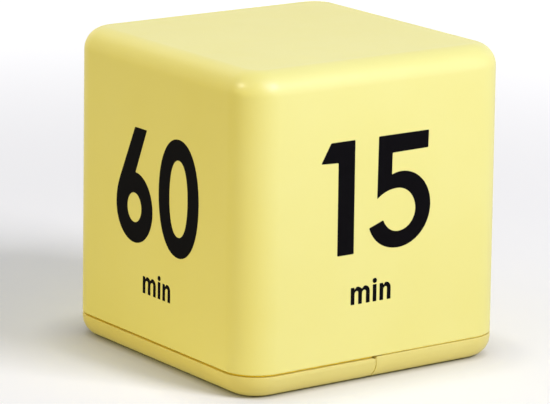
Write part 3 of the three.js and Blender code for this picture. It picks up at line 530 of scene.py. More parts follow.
def makeCamera():
    back = facing(shot["azimuth"], shot["elevation"])
    right = facing(shot["azimuth"] + 90)
    top = back.cross(right)
    place = right * shot["sideways"] + back * shot["distance"]
    place.z += shot["aimHeight"] + shot["upwards"]
    roll = math.radians(shot["roll"])
    turnedRight = right * math.cos(roll) + top * math.sin(roll)
    turnedTop = top * math.cos(roll) - right * math.sin(roll)
    data = bpy.data.cameras.new("photoCamera")
    data.sensor_width = shot["sensor"]
    data.lens = shot["focalPixels"] * shot["sensor"] / shot["imageWidth"]
    data.clip_start, data.clip_end = shot["near"], shot["far"]
    camera = linked("photoCamera", data)
    turn = Matrix((turnedRight, turnedTop, back)).transposed()
    camera.matrix_world = Matrix.Translation(place * mm) @ turn.to_4x4()
    bpy.context.scene.camera = camera


makeCamera()
print("camera set")


# Main housing: one shell with a rounded rim at the seam, and inside it the screw bosses, webs and ribs
housing = {
    "cornerSteps": 24,
    "filletSteps": 12,
    "rimSteps": 4,
    "bossRadius": 2.3,
    "bossEdge": 0.2,
    "pilotRadius": 1.1,
    "pilotDepth": 12.0,
    "bossFoot": 7.7,
    "webLength": 4.6,
    "webThickness": 1.2,
    "ribDrop": 2.4,
    "doorStepInset": 0.75,
    "coverStepInset": 0.3,
    "coverSeam": 0.18,
    "stepGap": 0.07,
    "stepEnd": 1.0,  # from the middle of the front and back
}
doorHigh = boxOf("battery_door")[1]
coverScrews = [f"cover_screw_{number}" for number in range(1, 5)]


# A closed ring with the cube's rounded square plan, moved inwards by an inset
def squareRing(inset, z):
    width = halfWidthAt(z) - inset
    radius = max(cube["cornerRadius"] - inset, cube["leastRadius"])
    ring = []
    for corner, (signX, signY) in enumerate([(1, 1), (-1, 1), (-1, -1), (1, -1)]):
        for step in range(housing["cornerSteps"] + 1):
            angle = (corner + step / housing["cornerSteps"]) * math.pi / 2
            x = signX * (width - radius) + radius * math.cos(angle)
            y = signY * (width - radius) + radius * math.sin(angle)
            ring.append((x, y, z))
    return ring


def housingShell():
    wall, rim = cube["wall"], cube["rimRadius"]
    outer, inner = cube["topRadius"], cube["topRadius"] - cube["wall"]
    profile = arcPoints((wall + inner, cubeHeight - wall - inner), inner, 90, 180, housing["filletSteps"])
    profile += arcPoints((wall - rim, seamHeight + rim), rim, 0, -90, housing["rimSteps"])
    profile += arcPoints((rim, seamHeight + rim), rim, -90, -180, housing["rimSteps"])
    profile += arcPoints((outer, cubeHeight - outer), outer, 180, 90, housing["filletSteps"])
    rings = [squareRing(inset, z) for inset, z in profile]
    count = len(rings[0])
    points = [point for ring in rings for point in ring]
    indices = [list(range(level * count, (level + 1) * count)) for level in range(len(rings))]
    return points, ringFaces(indices, count) + [indices[0], indices[-1]]


# A step behind the rim that closes the seam to a groove, over the door on one half and the cover on the other
def rimStep(side, inset, below):
    end = -housing["stepEnd"]
    outline = []
    for depth in (inset, cube["wall"] - cube["rimRadius"]):
        run = [(x, y) for x, y, z in squareRing(depth, seamHeight) if x < end]
        run = [(end, run[0][1]), *run, (end, run[-1][1])]
        outline += reversed(run) if outline else run
    points, faces = between(*[[(-side * x, y, z) for x, y in outline]
                              for z in (below + housing["stepGap"], seamHeight + cube["wall"] / 2)])
    # The step's sides take the second finish, gold with painted glow
    return [(points, faces[:-2], 1), (points, faces[-2:], 0)]


def housingInside():
    foot, ceiling = housing["bossFoot"], cubeHeight - cube["wall"] / 2
    pilotTop = foot + housing["pilotDepth"]
    profile = [(0, pilotTop), (housing["pilotRadius"], pilotTop), (housing["pilotRadius"], foot),
               (housing["bossRadius"], foot), (housing["bossRadius"], ceiling), (0, ceiling)]
    half = housing["webThickness"] / 2
    flatHalf = halfWidthAt(cubeHeight) - cube["topRadius"]
    ribFoot, webTop = ceiling - housing["ribDrop"], cubeHeight - cube["wall"] - cube["rimRadius"]
    bodies = []
    for reach, top in ((flatHalf + cube["wall"] / 2, ceiling), (flatHalf + housing["ribDrop"], webTop)):
        bodies += [block((-half, -reach, ribFoot), (half, reach, top)),
                   block((-reach, -half, ribFoot), (reach, half, top))]
    for name in coverScrews:
        spot = middleOf(name)
        bodies.append(easedTurned(profile, housing["bossEdge"], Vector((spot.x, spot.y, 0))))
        turn = math.degrees(math.atan2(math.copysign(1, spot.y), math.copysign(1, spot.x)))
        bodies.append(block((housing["bossRadius"] - half, -half, foot), (housing["webLength"], half, webTop),
                            turn, spot.xy))
    return bodies


rimSteps = [*rimStep(-1, housing["doorStepInset"], doorHigh.z),
            *rimStep(1, housing["coverStepInset"], seamHeight - housing["coverSeam"])]
shell = weighted(meshOf("housing_shell", [housingShell(), *rimSteps, *housingInside()]))
# The rim step's sides get the painted seam glow
dressed(shell, ["moulded ABS", "moulded ABS, painted seam glow"], "case", ["main_housing"])


# Base cover, battery door and switch knob: the CAD mouldings with their visible edges eased
moulding = {"edge": 0.05, "knobEdge": 0.1, "skin": 0.03, "splitGap": 0.3, "lipFit": 0.05, "lipInset": 0.15,
            "lipDeep": 1.2, "lipTurn": -85, "lipSteps": 12}


def onSkin(point):
    x, y, width = abs(point.x), abs(point.y), halfWidthAt(point.z)
    reach = width - max(x, y)
    cornerAt = width - cube["cornerRadius"]
    if min(x, y) > cornerAt:
        reach = cube["cornerRadius"] - math.hypot(x - cornerAt, y - cornerAt)
    return abs(reach) < moulding["skin"]


def onVisibleEdge(start, end):
    below = max(start.z, end.z) < moulding["skin"]
    return below or onSkin(start) and onSkin(end)


def onKnobEdge(start, end):
    return max(start.z, end.z) < boxOf("switch_knob")[0].z + moulding["skin"]


# Thin lips on the cover that stand behind the door's edge, so that the split is a groove and no open slit
def splitLips():
    start = doorHigh.x + moulding["lipFit"]
    width, radius, top = halfWidthAt(doorHigh.z), cube["baseRadius"], doorHigh.z - moulding["lipFit"]
    front, back = [[*arcPoints((width - radius, radius), radius - inset, moulding["lipTurn"], 0,
                               moulding["lipSteps"]), (width - inset, top)]
                   for inset in (moulding["lipInset"], moulding["lipDeep"])]
    return [between(*[[(x, side * y, z) for y, z in front + back[::-1]]
                      for x in (start, start + moulding["splitGap"])]) for side in (-1, 1)]


def easedMoulding(name, node, width, picks):
    return weighted(easedEdges(weldedCopy(name, node), width, picks))


cover = easedMoulding("cover_moulding", "base_cover", moulding["edge"], onVisibleEdge)
# The cover, the lips and the door take the deeper ABS, with its painted shade
dressed(cover, "moulded ABS, band", "case", ["base_cover"])
dressed(meshOf("split_lips", splitLips()), "moulded ABS, band", "case")
door = easedMoulding("door_moulding", "battery_door", moulding["edge"], onVisibleEdge)
dressed(door, "moulded ABS, band", "door", ["battery_door"])
knob = easedMoulding("knob_moulding", "switch_knob", moulding["knobEdge"], onKnobEdge)
dressed(knob, "moulded black POM", "knob", ["switch_knob"])
print("mouldings made")


# Numbers and words, drawn with straight runs and quarter curves; widths run to the right as each face is seen

arcHandle = 0.5523  # of a quarter ellipse
curveSteps = 14


class Outline:
    def __init__(self, x, z):
        self.points = [(x, z)]

    def line(self, *ends):
        self.points += zip(ends[::2], ends[1::2])
        return self

    def curve(self, handleA, handleB, end):
        start = self.points[-1]
        for step in range(1, curveSteps + 1):
            t = step / curveSteps
            weights = ((1 - t) ** 3, 3 * t * (1 - t) ** 2, 3 * t * t * (1 - t), t ** 3)
            corners = (start, handleA, handleB, end)
            self.points.append(tuple(sum(w * c[axis] for w, c in zip(weights, corners)) for axis in (0, 1)))
        return self

    # A quarter ellipse that leaves level and arrives upright, or the other way round
    def levelFirst(self, x, z, bulge=arcHandle):
        fromX, fromZ = self.points[-1]
        return self.curve((fromX + bulge * (x - fromX), fromZ), (x, z - bulge * (z - fromZ)), (x, z))

    def uprightFirst(self, x, z, bulge=arcHandle):
        fromX, fromZ = self.points[-1]
        return self.curve((fromX, fromZ + bulge * (z - fromZ)), (x - bulge * (x - fromX), z), (x, z))


def moved(outlines, x, z):
    return [[(px + x, pz + z) for px, pz in outline] for outline in outlines]


def ellipse(x, z, halfWidth, halfHeight, bulge=arcHandle):
    shape = Outline(x, z + halfHeight)
    for side in (1, -1):
        shape.levelFirst(x + side * halfWidth, z, bulge).uprightFirst(x, z - side * halfHeight, bulge)
    return shape.points[:-1]


def figureOne():
    return [Outline(-6.56, 26.4).line(-6.56, 49.0, -12.3, 49.0, -14.6, 45.1, -10.5, 44.9, -10.5, 26.4).points]


def figureThree():
    shape = Outline(-5.9, 44.4).curve((-5.5, 47.4), (-3.2, 49.2), (0.1, 49.2)).levelFirst(5.8, 43.6)
    shape.curve((5.8, 41.4), (4.8, 39.6), (3.1, 38.6)).curve((5.5, 37.7), (7.0, 35.7), (7.0, 33.0))
    shape.uprightFirst(0, 26.1).curve((-4.2, 26.1), (-6.9, 28.5), (-7.1, 32.2)).line(-3.6, 32.2)
    shape.curve((-3.3, 30.5), (-2.0, 29.5), (0, 29.5)).levelFirst(3.4, 33.1).uprightFirst(-0.7, 36.6)
    shape.line(-0.7, 39.8).curve((1.3, 39.8), (2.3, 41.2), (2.3, 43.1)).uprightFirst(0, 45.9)
    shape.curve((-1.3, 45.9), (-2.3, 45.3), (-2.5, 44.2))
    return [shape.points]


def figureFive():
    shape = Outline(-0.88, 49.0).line(11.3, 49.0, 11.2, 45.5, 2.5, 45.4, 2.44, 41.1)
    shape.curve((3.2, 41.35), (4.0, 41.5), (4.8, 41.5)).levelFirst(12.0, 34.1).uprightFirst(4.1, 26.3)
    shape.curve((0.9, 26.3), (-1.9, 28.0), (-2.9, 31.0)).line(0.5, 32.2)
    shape.curve((1.2, 30.6), (2.5, 29.6), (4.2, 29.6)).levelFirst(8.3, 33.7).uprightFirst(3.75, 38.25)
    shape.curve((1.9, 38.25), (0.4, 37.7), (-1.06, 36.6))
    return [shape.points]


def figureSix():
    shape = Outline(-3.2, 47.25).line(-7.4, 47.25, -12.6, 36.5)
    shape.curve((-13.55, 34.5), (-14.0, 32.9), (-14.0, 30.9)).uprightFirst(-7.5, 23.75)
    shape.levelFirst(-1.0, 30.9).uprightFirst(-7.2, 38.1)
    return [shape.points, ellipse(-7.5, 30.9, 2.5, 3.0)]


def figureZero():
    return [ellipse(8.1, 35.67, 6.97, 11.85, 0.6), ellipse(8.07, 35.67, 3.17, 7.7, 0.62)]


# The small word: upright stems joined by round arches, in millimetres from its left edge and its foot
smallWord = {
    "stroke": 0.91,
    "height": 3.54,
    "stemHeight": 3.46,
    "mStems": (0.455, 2.265, 4.145),
    "iStem": 5.785,
    "nStems": (7.445, 9.245),
    "archDrop": 1.2,  # from the top to where an arch turns into its stem
    "archThickness": 0.84,
    "notchDrop": 0.5,
    "shoulder": 0.8,  # of half a stroke, where the first stem's top ends
    "dotRadius": 0.52,
    "dotHeight": 4.2,
    "corner": 0.12,
}


def archedLetter(stems):
    half, top, thick = smallWord["stroke"] / 2, smallWord["height"], smallWord["archThickness"]
    spring, notch = top - smallWord["archDrop"], top - smallWord["notchDrop"]
    left, stemTop = stems[0] - half, smallWord["stemHeight"]
    shape = Outline(left, 0).line(left, stemTop, stems[0] + smallWord["shoulder"] * half, stemTop,
                                  stems[0] + half, notch)
    for near, far in zip(stems, stems[1:]):
        crown = (near + far) / 2 + half / 2
        shape.curve((near + 2 * half, top - half / 2), (crown - half, top), (crown, top))
        if far == stems[-1]:
            shape.levelFirst(far + half, spring)
        else:
            shape.curve((crown + half, top), (far, top - half / 2), (far + half, notch))
    shape.line(stems[-1] + half, 0)
    for near, far in reversed(list(zip(stems, stems[1:]))):
        crown = (near + far) / 2 + half / 4
        shape.line(far - half, 0, far - half, spring).uprightFirst(crown, top - thick)
        shape.levelFirst(near + half, spring - half / 2).line(near + half, 0)
    return shape.points


def minutesWord(left, foot, scale=1.0):
    half, stem, stemTop = smallWord["stroke"] / 2, smallWord["iStem"], smallWord["stemHeight"]
    bar = [(stem - half, 0), (stem - half, stemTop), (stem + half, stemTop), (stem + half, 0)]
    dot = ellipse(stem, smallWord["dotHeight"], smallWord["dotRadius"], smallWord["dotRadius"])
    letters = [archedLetter(smallWord["mStems"]), bar, dot, archedLetter(smallWord["nStems"])]
    return moved([[(x * scale, z) for x, z in eased(letter, smallWord["corner"])] for letter in letters],
                 left, foot)


prints = {"lift": 0.015, "thickness": 0.02, "corner": 0.22}


# Fills flat outlines and lays them on a face; placeOn turns (across, upwards, depth) into a point on it
def printOn(name, outlines, placeOn, finishName="pad-printed ink"):
    curve = bpy.data.curves.new(name, "CURVE")
    curve.dimensions = "2D"
    curve.fill_mode = "BOTH"
    curve.extrude = prints["thickness"] / 2
    for outline in outlines:
        spline = curve.splines.new("POLY")
        spline.points.add(len(outline) - 1)
        for point, (x, z) in zip(spline.points, outline):
            point.co = (x, z, 0, 1)
        spline.use_cyclic_u = True
    flat = linked(name + "_flat", curve)
    mesh = resultOf(flat)
    bpy.data.objects.remove(flat)
    for vertex in mesh.vertices:
        vertex.co = placeOn(*vertex.co) * mm
    dressed(shaded(linked(name, mesh)), finishName, "case")


def sideFace(azimuthDegrees):
    outward, across = facing(azimuthDegrees), facing(azimuthDegrees + 90)

    def placeOn(x, z, depth):
        return across * x + outward * (halfWidthAt(z) + prints["lift"] + depth) + up * z

    return placeOn


sides = [
    ("15", 0, figureOne() + figureFive(), minutesWord(-7.08, 16.16)),
    ("60", -90, figureSix() + figureZero(), minutesWord(-4.27, 14.12, 1.008)),
    ("5", 90, moved(figureFive(), -4.6, 0), minutesWord(-4.85, 16.16)),
    ("30", 180, moved(figureThree(), -8.2, 0) + moved(figureZero(), 0, 2), minutesWord(-4.85, 16.16)),
]
for label, azimuth, figures, word in sides:
    printOn("figures_" + label, [eased(figure, prints["corner"]) for figure in figures], sideFace(azimuth))
    printOn("word_" + label, word, sideFace(azimuth))


# ON and OFF beside the switch, read from below with +X to the right
switchMarks = {"height": 1.9, "stroke": 0.34, "advance": 1.75, "space": 0.4, "gap": 1.1, "dishHalf": 4.9,
               "slant": 1.5, "armHeight": 0.55, "armLength": 0.8}


def plainLetter(letter, x):
    height, stroke = switchMarks["height"], switchMarks["stroke"]
    wide = switchMarks["advance"] - switchMarks["space"]
    if letter == "O":
        return [ellipse(x + wide / 2, height / 2, wide / 2 - inset, height / 2 - inset)
                for inset in (0, stroke)]
    left, right = x + stroke, x + wide
    if letter == "N":
        slant, stem = switchMarks["slant"] * stroke, right - stroke
        return [Outline(x, 0).line(x, height, left, height, stem, slant, stem, height, right, height,
                                   right, 0, stem, 0, left, height - slant, left, 0).points]
    middle, arm = height * switchMarks["armHeight"], x + wide * switchMarks["armLength"]
    return [Outline(x, 0).line(x, height, right, height, right, height - stroke, left, height - stroke,
                               left, middle, arm, middle, arm, middle - stroke, left, middle - stroke,
                               left, 0).points]


def underFace(centre):
    def placeOn(x, z, depth):
        return Vector((centre[0] + x, centre[1] - z, -prints["lift"] - depth))

    return placeOn


slotMiddle = middleOf("switch_frame")
for text, side in (("OFF", -1), ("ON", 1)):
    half = len(text) * switchMarks["advance"] / 2
    outlines = [outline for at, letter in enumerate(text)
                for outline in plainLetter(letter, at * switchMarks["advance"])]
    centre = (slotMiddle.x + side * (switchMarks["dishHalf"] + switchMarks["gap"] + half), slotMiddle.y)
    printOn("mark_" + text.lower(), moved(outlines, -half, -switchMarks["height"] / 2), underFace(centre))
print("figures printed")


# Display: dormant segments of four figures and a colon, read from below with +Y to the right
segments = {"height": 6.4, "width": 3.4, "stroke": 0.62, "gap": 0.12, "advance": 4.7, "colonWidth": 1.6,
            "colonDot": 0.32, "sink": 0.01}


def segmentFigure(x):
    height, width, stroke, gap = [segments[key] for key in ("height", "width", "stroke", "gap")]
    half = stroke / 2
    bars = []
    for level in (0, 1, 2):
        z = level * (height - stroke) / 2 + half
        start, end = x + half + gap, x + width - half - gap
        bars.append([(start, z), (start + half, z + half), (end - half, z + half), (end, z),
                     (end - half, z - half), (start + half, z - half)])
    for column in (x + half, x + width - half):
        for level in (0, 1):
            foot = level * (height - stroke) / 2 + half + gap
            top = foot + (height - stroke) / 2 - 2 * gap
            bars.append([(column, foot), (column + half, foot + half), (column + half, top - half),
                         (column, top), (column - half, top - half), (column - half, foot + half)])
    return bars


def segmentRow():
    outlines, x = [], 0
    for number in range(4):
        if number == 2:
            middle = x + (segments["colonWidth"] - segments["stroke"]) / 2
            outlines += [ellipse(middle, segments["height"] * level / 3, segments["colonDot"],
                                 segments["colonDot"]) for level in (1, 2)]
            x += segments["colonWidth"]
        outlines += segmentFigure(x)
        x += segments["advance"]
    return moved(outlines, (segments["width"] - segments["advance"] - x) / 2, -segments["height"] / 2)


def displayFace(x, z, depth):
    middle, high = middleOf("lcd_window"), boxOf("lcd_window")[1]
    return Vector((middle.x + z, middle.y + x, high.z - segments["sink"] - depth))


printOn("display_segments", segmentRow(), displayFace, "dormant segments")
print("display made")


# Screws: pan heads with a cross recess and a formed thread
coverScrew = {"headRadius": 1.8, "headHeight": 1.3, "radius": 0.8, "length": 9.0, "pitch": 0.9, "sides": 24,
              "cross": 0.5, "crossReach": 1.15, "crossDepth": 0.75, "tip": 0.9, "threadDepth": 0.22}
boardScrew = {"headRadius": 1.5, "headHeight": 0.9, "radius": 0.6, "length": 4.0, "pitch": 0.6, "sides": 20,
              "cross": 0.4, "crossReach": 0.95, "crossDepth": 0.5, "tip": 0.6, "threadDepth": 0.15}
screwForm = {"rowsPerPitch": 6, "sunk": 0.1, "ridgeSlope": 3, "pointShare": 0.08, "crossTaper": 0.55,
             "crossOver": 0.3, "crownSteps": 8, "headSides": 32}


# The shank as a height field round the axis: one ridge that climbs a pitch each turn
def threadBody(screw):
    sides, sunk = screw["sides"], screwForm["sunk"]
    rows = round(screw["length"] / screw["pitch"] * screwForm["rowsPerPitch"])
    points, rings = [Vector((0, 0, -sunk))], [[0]]
    for row in range(rows + 1):
        z = screw["length"] * row / rows - sunk * (row == 0)
        taper = min(1.0, (screw["length"] - z) / screw["tip"] + screwForm["pointShare"])
        rings.append(list(range(len(points), len(points) + sides)))
        for at in range(sides):
            turn = at / sides
            phase = (z / screw["pitch"] - turn) % 1
            ridge = max(0.0, 1 - abs(phase - 0.5) * screwForm["ridgeSlope"])
            radius = (screw["radius"] - screw["threadDepth"] * (1 - ridge)) * taper
            angle = turn * math.tau
            points.append(Vector((radius * math.cos(angle), radius * math.sin(angle), z)))
    rings.append([len(points)])
    points.append(Vector((0, 0, screw["length"])))
    return points, ringFaces(rings, sides)


def crossCutter(screw):
    half, reach = screw["cross"] / 2, screw["crossReach"]
    corners = [(half, reach), (half, half), (reach, half)]
    for arm in range(3):
        corners += [(y, -x) for x, y in corners[-3:]]
    ends = ((1, -screw["headHeight"] - screwForm["crossOver"]),
            (screwForm["crossTaper"], screw["crossDepth"] - screw["headHeight"]))
    return between(*[[Vector((x * share, y * share, z)) for x, y in corners] for share, z in ends])


def screwTemplate(name, screw):
    crown = arcPoints((0, 0), 1.0, -90, 0, screwForm["crownSteps"])
    profile = [(x * screw["headRadius"], z * screw["headHeight"]) for x, z in crown] + [(0, 0)]
    dome = turned(profile, Vector((0, 0, 0)), sides=screwForm["headSides"])
    head = meshOf(name + "_head", [dome], roundDegrees)
    cutter = meshOf(name + "_cutter", [crossCutter(screw)])
    cut = head.modifiers.new("cross", "BOOLEAN")
    cut.object = cutter
    cut.operation = "DIFFERENCE"
    cut.solver = "EXACT"
    mesh = resultOf(head)
    points, faces = threadBody(screw)
    whole = bmesh.new()
    whole.from_mesh(mesh)
    added = [whole.verts.new(point * mm) for point in points]
    for face in faces:
        whole.faces.new([added[at] for at in face])
    whole.to_mesh(mesh)
    whole.free()
    for part in (head, cutter):
        bpy.data.objects.remove(part)
    return linked(name + "_shape", mesh)


spots = spotsTree()


def placeScrews(name, screw, nodes, tipOver):
    shape = screwTemplate(name, screw)
    seats = []
    for node in nodes:
        low, high = boxOf(node)
        seat = high.z - screw["headHeight"] if tipOver else low.z + screw["headHeight"]
        seats.append(((low.x + high.x) / 2, (low.y + high.y) / 2, seat))
    made = grown(name, seats, [], spots, {"Shape": shape, "Tip over": tipOver,
                                         "Finish": finish["zinc-plated steel"]})
    bpy.data.objects.remove(shape)
    dressed(made, "zinc-plated steel", "case", nodes)


placeScrews("cover_screws", coverScrew, coverScrews, 0.0)
placeScrews("board_screws", boardScrew, [f"board_screw_{number}" for number in range(1, 4)], math.pi)
print("screws placed")


# Springs, leads and the coil's winding: wires along a path

wires = wireTree()


def alongPath(name, points, radius, sides, finishName, replaced=()):
    steps = [(at, at + 1) for at in range(len(points) - 1)]
    made = grown(name, points, steps, wires, {"Wire radius": radius * mm, "Sides": sides,
                                              "Finish": finish[finishName]})
    dressed(made, finishName, "case", replaced)


# A contact spring stands on its contact and narrows towards the cell
spring = {"wire": 0.25, "base": 3.1, "tip": 1.9, "turns": 2.5, "stepsPerTurn": 40, "sides": 12}


def makeSpring(number, sign):
    low, high = boxOf(f"contact_spring_{number}")
    cellMiddle = middleOf(f"battery_{number}")
    foot = low.y + spring["wire"] if sign > 0 else high.y - spring["wire"]
    axis = Vector((cellMiddle.x, foot, cellMiddle.z))
    rise = high.y - low.y - 2 * spring["wire"]
    count = round(spring["turns"] * spring["stepsPerTurn"])
    points = []
    for step in range(count + 1):
        share = step / count
        angle = share * spring["turns"] * math.tau
        radius = spring["base"] + (spring["tip"] - spring["base"]) * share
        points.append(axis + Vector((radius * math.cos(angle), sign * rise * share,
                                     -sign * radius * math.sin(angle))))
    alongPath(f"spring_{number}", points, spring["wire"], spring["sides"], "plated spring wire",
              [f"contact_spring_{number}"])


makeSpring(1, 1)
makeSpring(2, -1)


# A smooth curve through a lead's chosen points, with the bends spread by the distance between them
def smoothRoute(route, steps):
    points = [Vector(p) for p in route]
    points = [points[0] * 2 - points[1], *points, points[-1] * 2 - points[-2]]
    result = []
    spans = len(points) - 3
    for step in range(steps + 1):
        at = min(int(step / steps * spans), spans - 1)
        a, b, c, d = points[at:at + 4]
        knots = [0.0]
        for near, far in ((a, b), (b, c), (c, d)):
            knots.append(knots[-1] + math.sqrt((far - near).length))
        t = knots[1] + (step / steps * spans - at) * (knots[2] - knots[1])
        ab = a.lerp(b, (t - knots[0]) / (knots[1] - knots[0]))
        bc = b.lerp(c, (t - knots[1]) / (knots[2] - knots[1]))
        cd = c.lerp(d, (t - knots[2]) / (knots[3] - knots[2]))
        abc = ab.lerp(bc, (t - knots[0]) / (knots[2] - knots[0]))
        bcd = bc.lerp(cd, (t - knots[1]) / (knots[3] - knots[1]))
        result.append(abc.lerp(bcd, (t - knots[1]) / (knots[2] - knots[1])))
    return result


def laySleeve(name, tint, node, route, wire):
    alongPath(name, smoothRoute(route, wire["steps"]), wire["radius"], wire["sides"], f"{tint} PVC sleeve",
              [node])


# The cells' leads run in an arch from their contact's tab to the board, with a drop of solder on both ends
leadWire = {"radius": 0.6, "steps": 90, "sides": 16, "startLift": 0.3, "rise": 1.5, "arch": 3.0,
            "drop": [(0, 0.35), (0.3, 0.3), (0.5, 0.05), (0.62, -0.18), (0.75, -0.29), (0, -0.29)],
            "dropSides": 24}


def makeLeads():
    right, left = middleOf("contact_plus"), middleOf("contact_minus")
    start, tabEnd = right.y, boxOf("contact_plus")[1].z
    foot, arch = boxOf("lead_red")[0].z, tabEnd + leadWire["arch"]
    redEnd, blackEnd = [boxOf(f"lead_{name}")[1].xy - Vector((leadWire["radius"],) * 2)
                        for name in ("red", "black")]
    turns = {
        "red": (right.x, redEnd, [((right.x + redEnd[0]) / 2, (start + redEnd[1]) / 2, arch)]),
        "black": (left.x, blackEnd, [((2 * left.x + right.x) / 3, (2 * start + blackEnd[1]) / 3, arch),
                                     ((left.x + 2 * right.x) / 3, (start + 2 * blackEnd[1]) / 3, arch)]),
    }
    for name, (x, end, middle) in turns.items():
        route = [(x, start, tabEnd + leadWire["startLift"]), (x, start, tabEnd + leadWire["rise"]), *middle,
                 (*end, tabEnd), (*end, foot)]
        laySleeve(f"sleeve_{name}", name, f"lead_{name}", route, leadWire)
        drops = [turned(leadWire["drop"], Vector(place), sides=leadWire["dropSides"])
                 for place in (route[0], route[-1])]
        dressed(meshOf(f"solder_{name}", drops, roundDegrees), "tinned steel", "case")


buzzerWire = {"radius": 0.35, "steps": 45, "sides": 16, "slope": 0.3}


def makeBuzzerLeads():
    radius = buzzerWire["radius"]
    for number, name in ((1, "red"), (2, "black")):
        low, high = boxOf(f"buzzer_lead_{number}")
        near, far = (low.x + radius, high.x - radius) if number == 1 else (high.x - radius, low.x + radius)
        y, middle = (low.y + high.y) / 2, (low.z + high.z) / 2
        route = [(near, y, low.z), (near, y, middle), (far, y, middle + buzzerWire["slope"]),
                 (far, y, high.z)]
        laySleeve(f"buzzer_sleeve_{name}", name, f"buzzer_lead_{number}", route, buzzerWire)


makeLeads()
makeBuzzerLeads()


# The coil: a ferrite drum with two layers of wire, wound up and back down
coil = {"drumRadius": 2.8, "core": 1.8, "flange": 0.8, "edge": 0.15, "wire": 0.17, "sides": 8, "turns": 9,
        "layerRadius": 2.0, "layers": 2, "stepsPerTurn": 28}


def makeCoil():
    foot, height = footOf("boost_coil"), boxOf("boost_coil")[1].z - boxOf("boost_coil")[0].z
    drum, core, flange = coil["drumRadius"], coil["core"], coil["flange"]
    profile = [(0, 0), (drum, 0), (drum, flange), (core, flange), (core, height - flange),
               (drum, height - flange), (drum, height), (0, height)]
    dressed(meshOf("coil_drum", [easedTurned(profile, coil["edge"], foot)]), "pressed ferrite", "case",
            ["boost_coil"])
    points = []
    count = coil["turns"] * coil["stepsPerTurn"]
    room = height - 2 * (flange + coil["wire"])
    for layer in range(coil["layers"]):
        radius = coil["layerRadius"] + layer * 2 * coil["wire"]
        for step in range(count + 1):
            share = step / count if layer % 2 == 0 else 1 - step / count
            angle = (layer * coil["turns"] + step / coil["stepsPerTurn"]) * math.tau
            points.append(foot + Vector((radius * math.cos(angle), radius * math.sin(angle),
                                         flange + coil["wire"] + room * share)))
    alongPath("coil_winding", points, coil["wire"], coil["sides"], "enamelled copper")


makeCoil()
print("wires laid")


# Cells: a drawn steel can in a shrink film, dark with a copper-coloured plus end
cell = {"radius": 5.25, "length": 44.5, "edge": 0.5, "sides": 64, "sharpDegrees": 50,
        "dishRadius": 2.6, "dishRim": 2.9, "dishDepth": 0.12, "canEdge": 0.3,
        "nubRadius": 1.9, "nubHeight": 0.9, "nubFoot": 0.3, "nubEdge": 0.35,
        "ringRadius": 3.4, "ringStep": 0.1, "sealGap": 0.2, "sealProud": 0.12,
        "film": 0.12, "filmFit": 0.02, "filmLap": 1.0, "filmTurn": 0.35, "filmEase": 0.3, "band": 9.5}


def makeCell(number, sign):
    low, high = boxOf(f"battery_{number}")
    middle = middleOf(f"battery_{number}")
    along = Vector((0, sign, 0))
    foot = Vector((middle.x, low.y if sign > 0 else high.y, middle.z))
    radius, length, film, edge = cell["radius"], cell["length"], cell["film"], cell["edge"]
    nub, ring, gap = cell["nubRadius"], cell["ringRadius"], cell["sealGap"]
    top, split, can = length - cell["nubHeight"], length - cell["band"], radius - film
    canProfile = [(0, cell["dishDepth"]), (cell["dishRadius"], cell["dishDepth"]), (cell["dishRim"], 0),
                  (can - edge, 0), (can, edge), (can, top - edge), (can - edge, top),
                  (ring, top - cell["ringStep"]), (0, top - cell["ringStep"])]
    nubProfile = [(0, top - cell["nubFoot"]), (nub, top - cell["nubFoot"]), (nub, length), (0, length)]
    seal = [(nub + gap, top - gap), (ring, top - gap), (ring, top + cell["sealProud"]),
            (nub + gap, top + cell["sealProud"]), (nub + gap, top - gap)]

    # From the split to one end, where the film laps over the edge; the way is 1 towards the plus end
    def filmBand(end, way):
        inner, lap, turn = can - cell["filmFit"], radius - cell["filmLap"], radius - cell["filmTurn"]
        lip = end + way * film
        return [(inner, split), (radius, split), (radius, end - way * cell["filmEase"]), (turn, lip),
                (lap, lip), (lap, end), (inner, split)]

    bodies = [
        (*easedTurned(canProfile, cell["canEdge"], foot, along, cell["sides"]), 0),
        (*easedTurned(nubProfile, cell["nubEdge"], foot, along, cell["sides"]), 0),
        (*turned(seal, foot, along, cell["sides"]), 3),
        (*turned(filmBand(cell["filmFit"], -1), foot, along, cell["sides"]), 1),
        (*turned(filmBand(top, 1), foot, along, cell["sides"]), 2),
    ]
    dressed(weighted(meshOf(f"cell_{number}", bodies, cell["sharpDegrees"])),
            ["tinned steel", "dark shrink film", "copper shrink film", "moulded black POM"], "case",
            [f"battery_{number}"])


makeCell(1, 1)
makeCell(2, -1)


# Plus and minus signs moulded proud of the plate beside each cell's ends
polarity = {"reach": 1.3, "half": 0.32, "proud": 0.2, "plateFace": 2.0, "beyondBay": 2.2}


def makePolaritySigns():
    bodies = []
    reach, half = polarity["reach"], polarity["half"]
    low, high = polarity["plateFace"] - polarity["proud"], polarity["plateFace"] + polarity["proud"]
    bayEnd = boxOf("contact_bridge")[1].y
    for number, sign in ((1, 1), (2, -1)):
        x = middleOf(f"battery_{number}").x
        for end in (1, -1):
            y = end * (bayEnd + polarity["beyondBay"])
            for reachX, reachY in [(reach, half), (half, reach)] if end == sign else [(reach, half)]:
                bodies.append(block((x - reachX, y - reachY, low), (x + reachX, y + reachY, high)))
    # The signs share the deeper ABS with its painted shade
    dressed(meshOf("polarity_signs", bodies), "moulded ABS, band", "case")


makePolaritySigns()
print("cells made")


# Round parts on the board, turned smoother than the CAD's
chip = {"radius": 4.2, "height": 1.3, "bulge": 0.8, "steps": 16}
crystal = {"radius": 1.0, "length": 6.0, "edge": 0.25, "flare": 0.2, "neck": 0.08}
capacitor = {"radius": 2.2, "height": 5.4, "groove": 0.25, "grooveFoot": 0.9, "crimp": 0.7, "edge": 0.15,
             "sleeveFoot": 0.02, "topSink": 0.06, "topThickness": 0.2, "topFlare": 0.1}


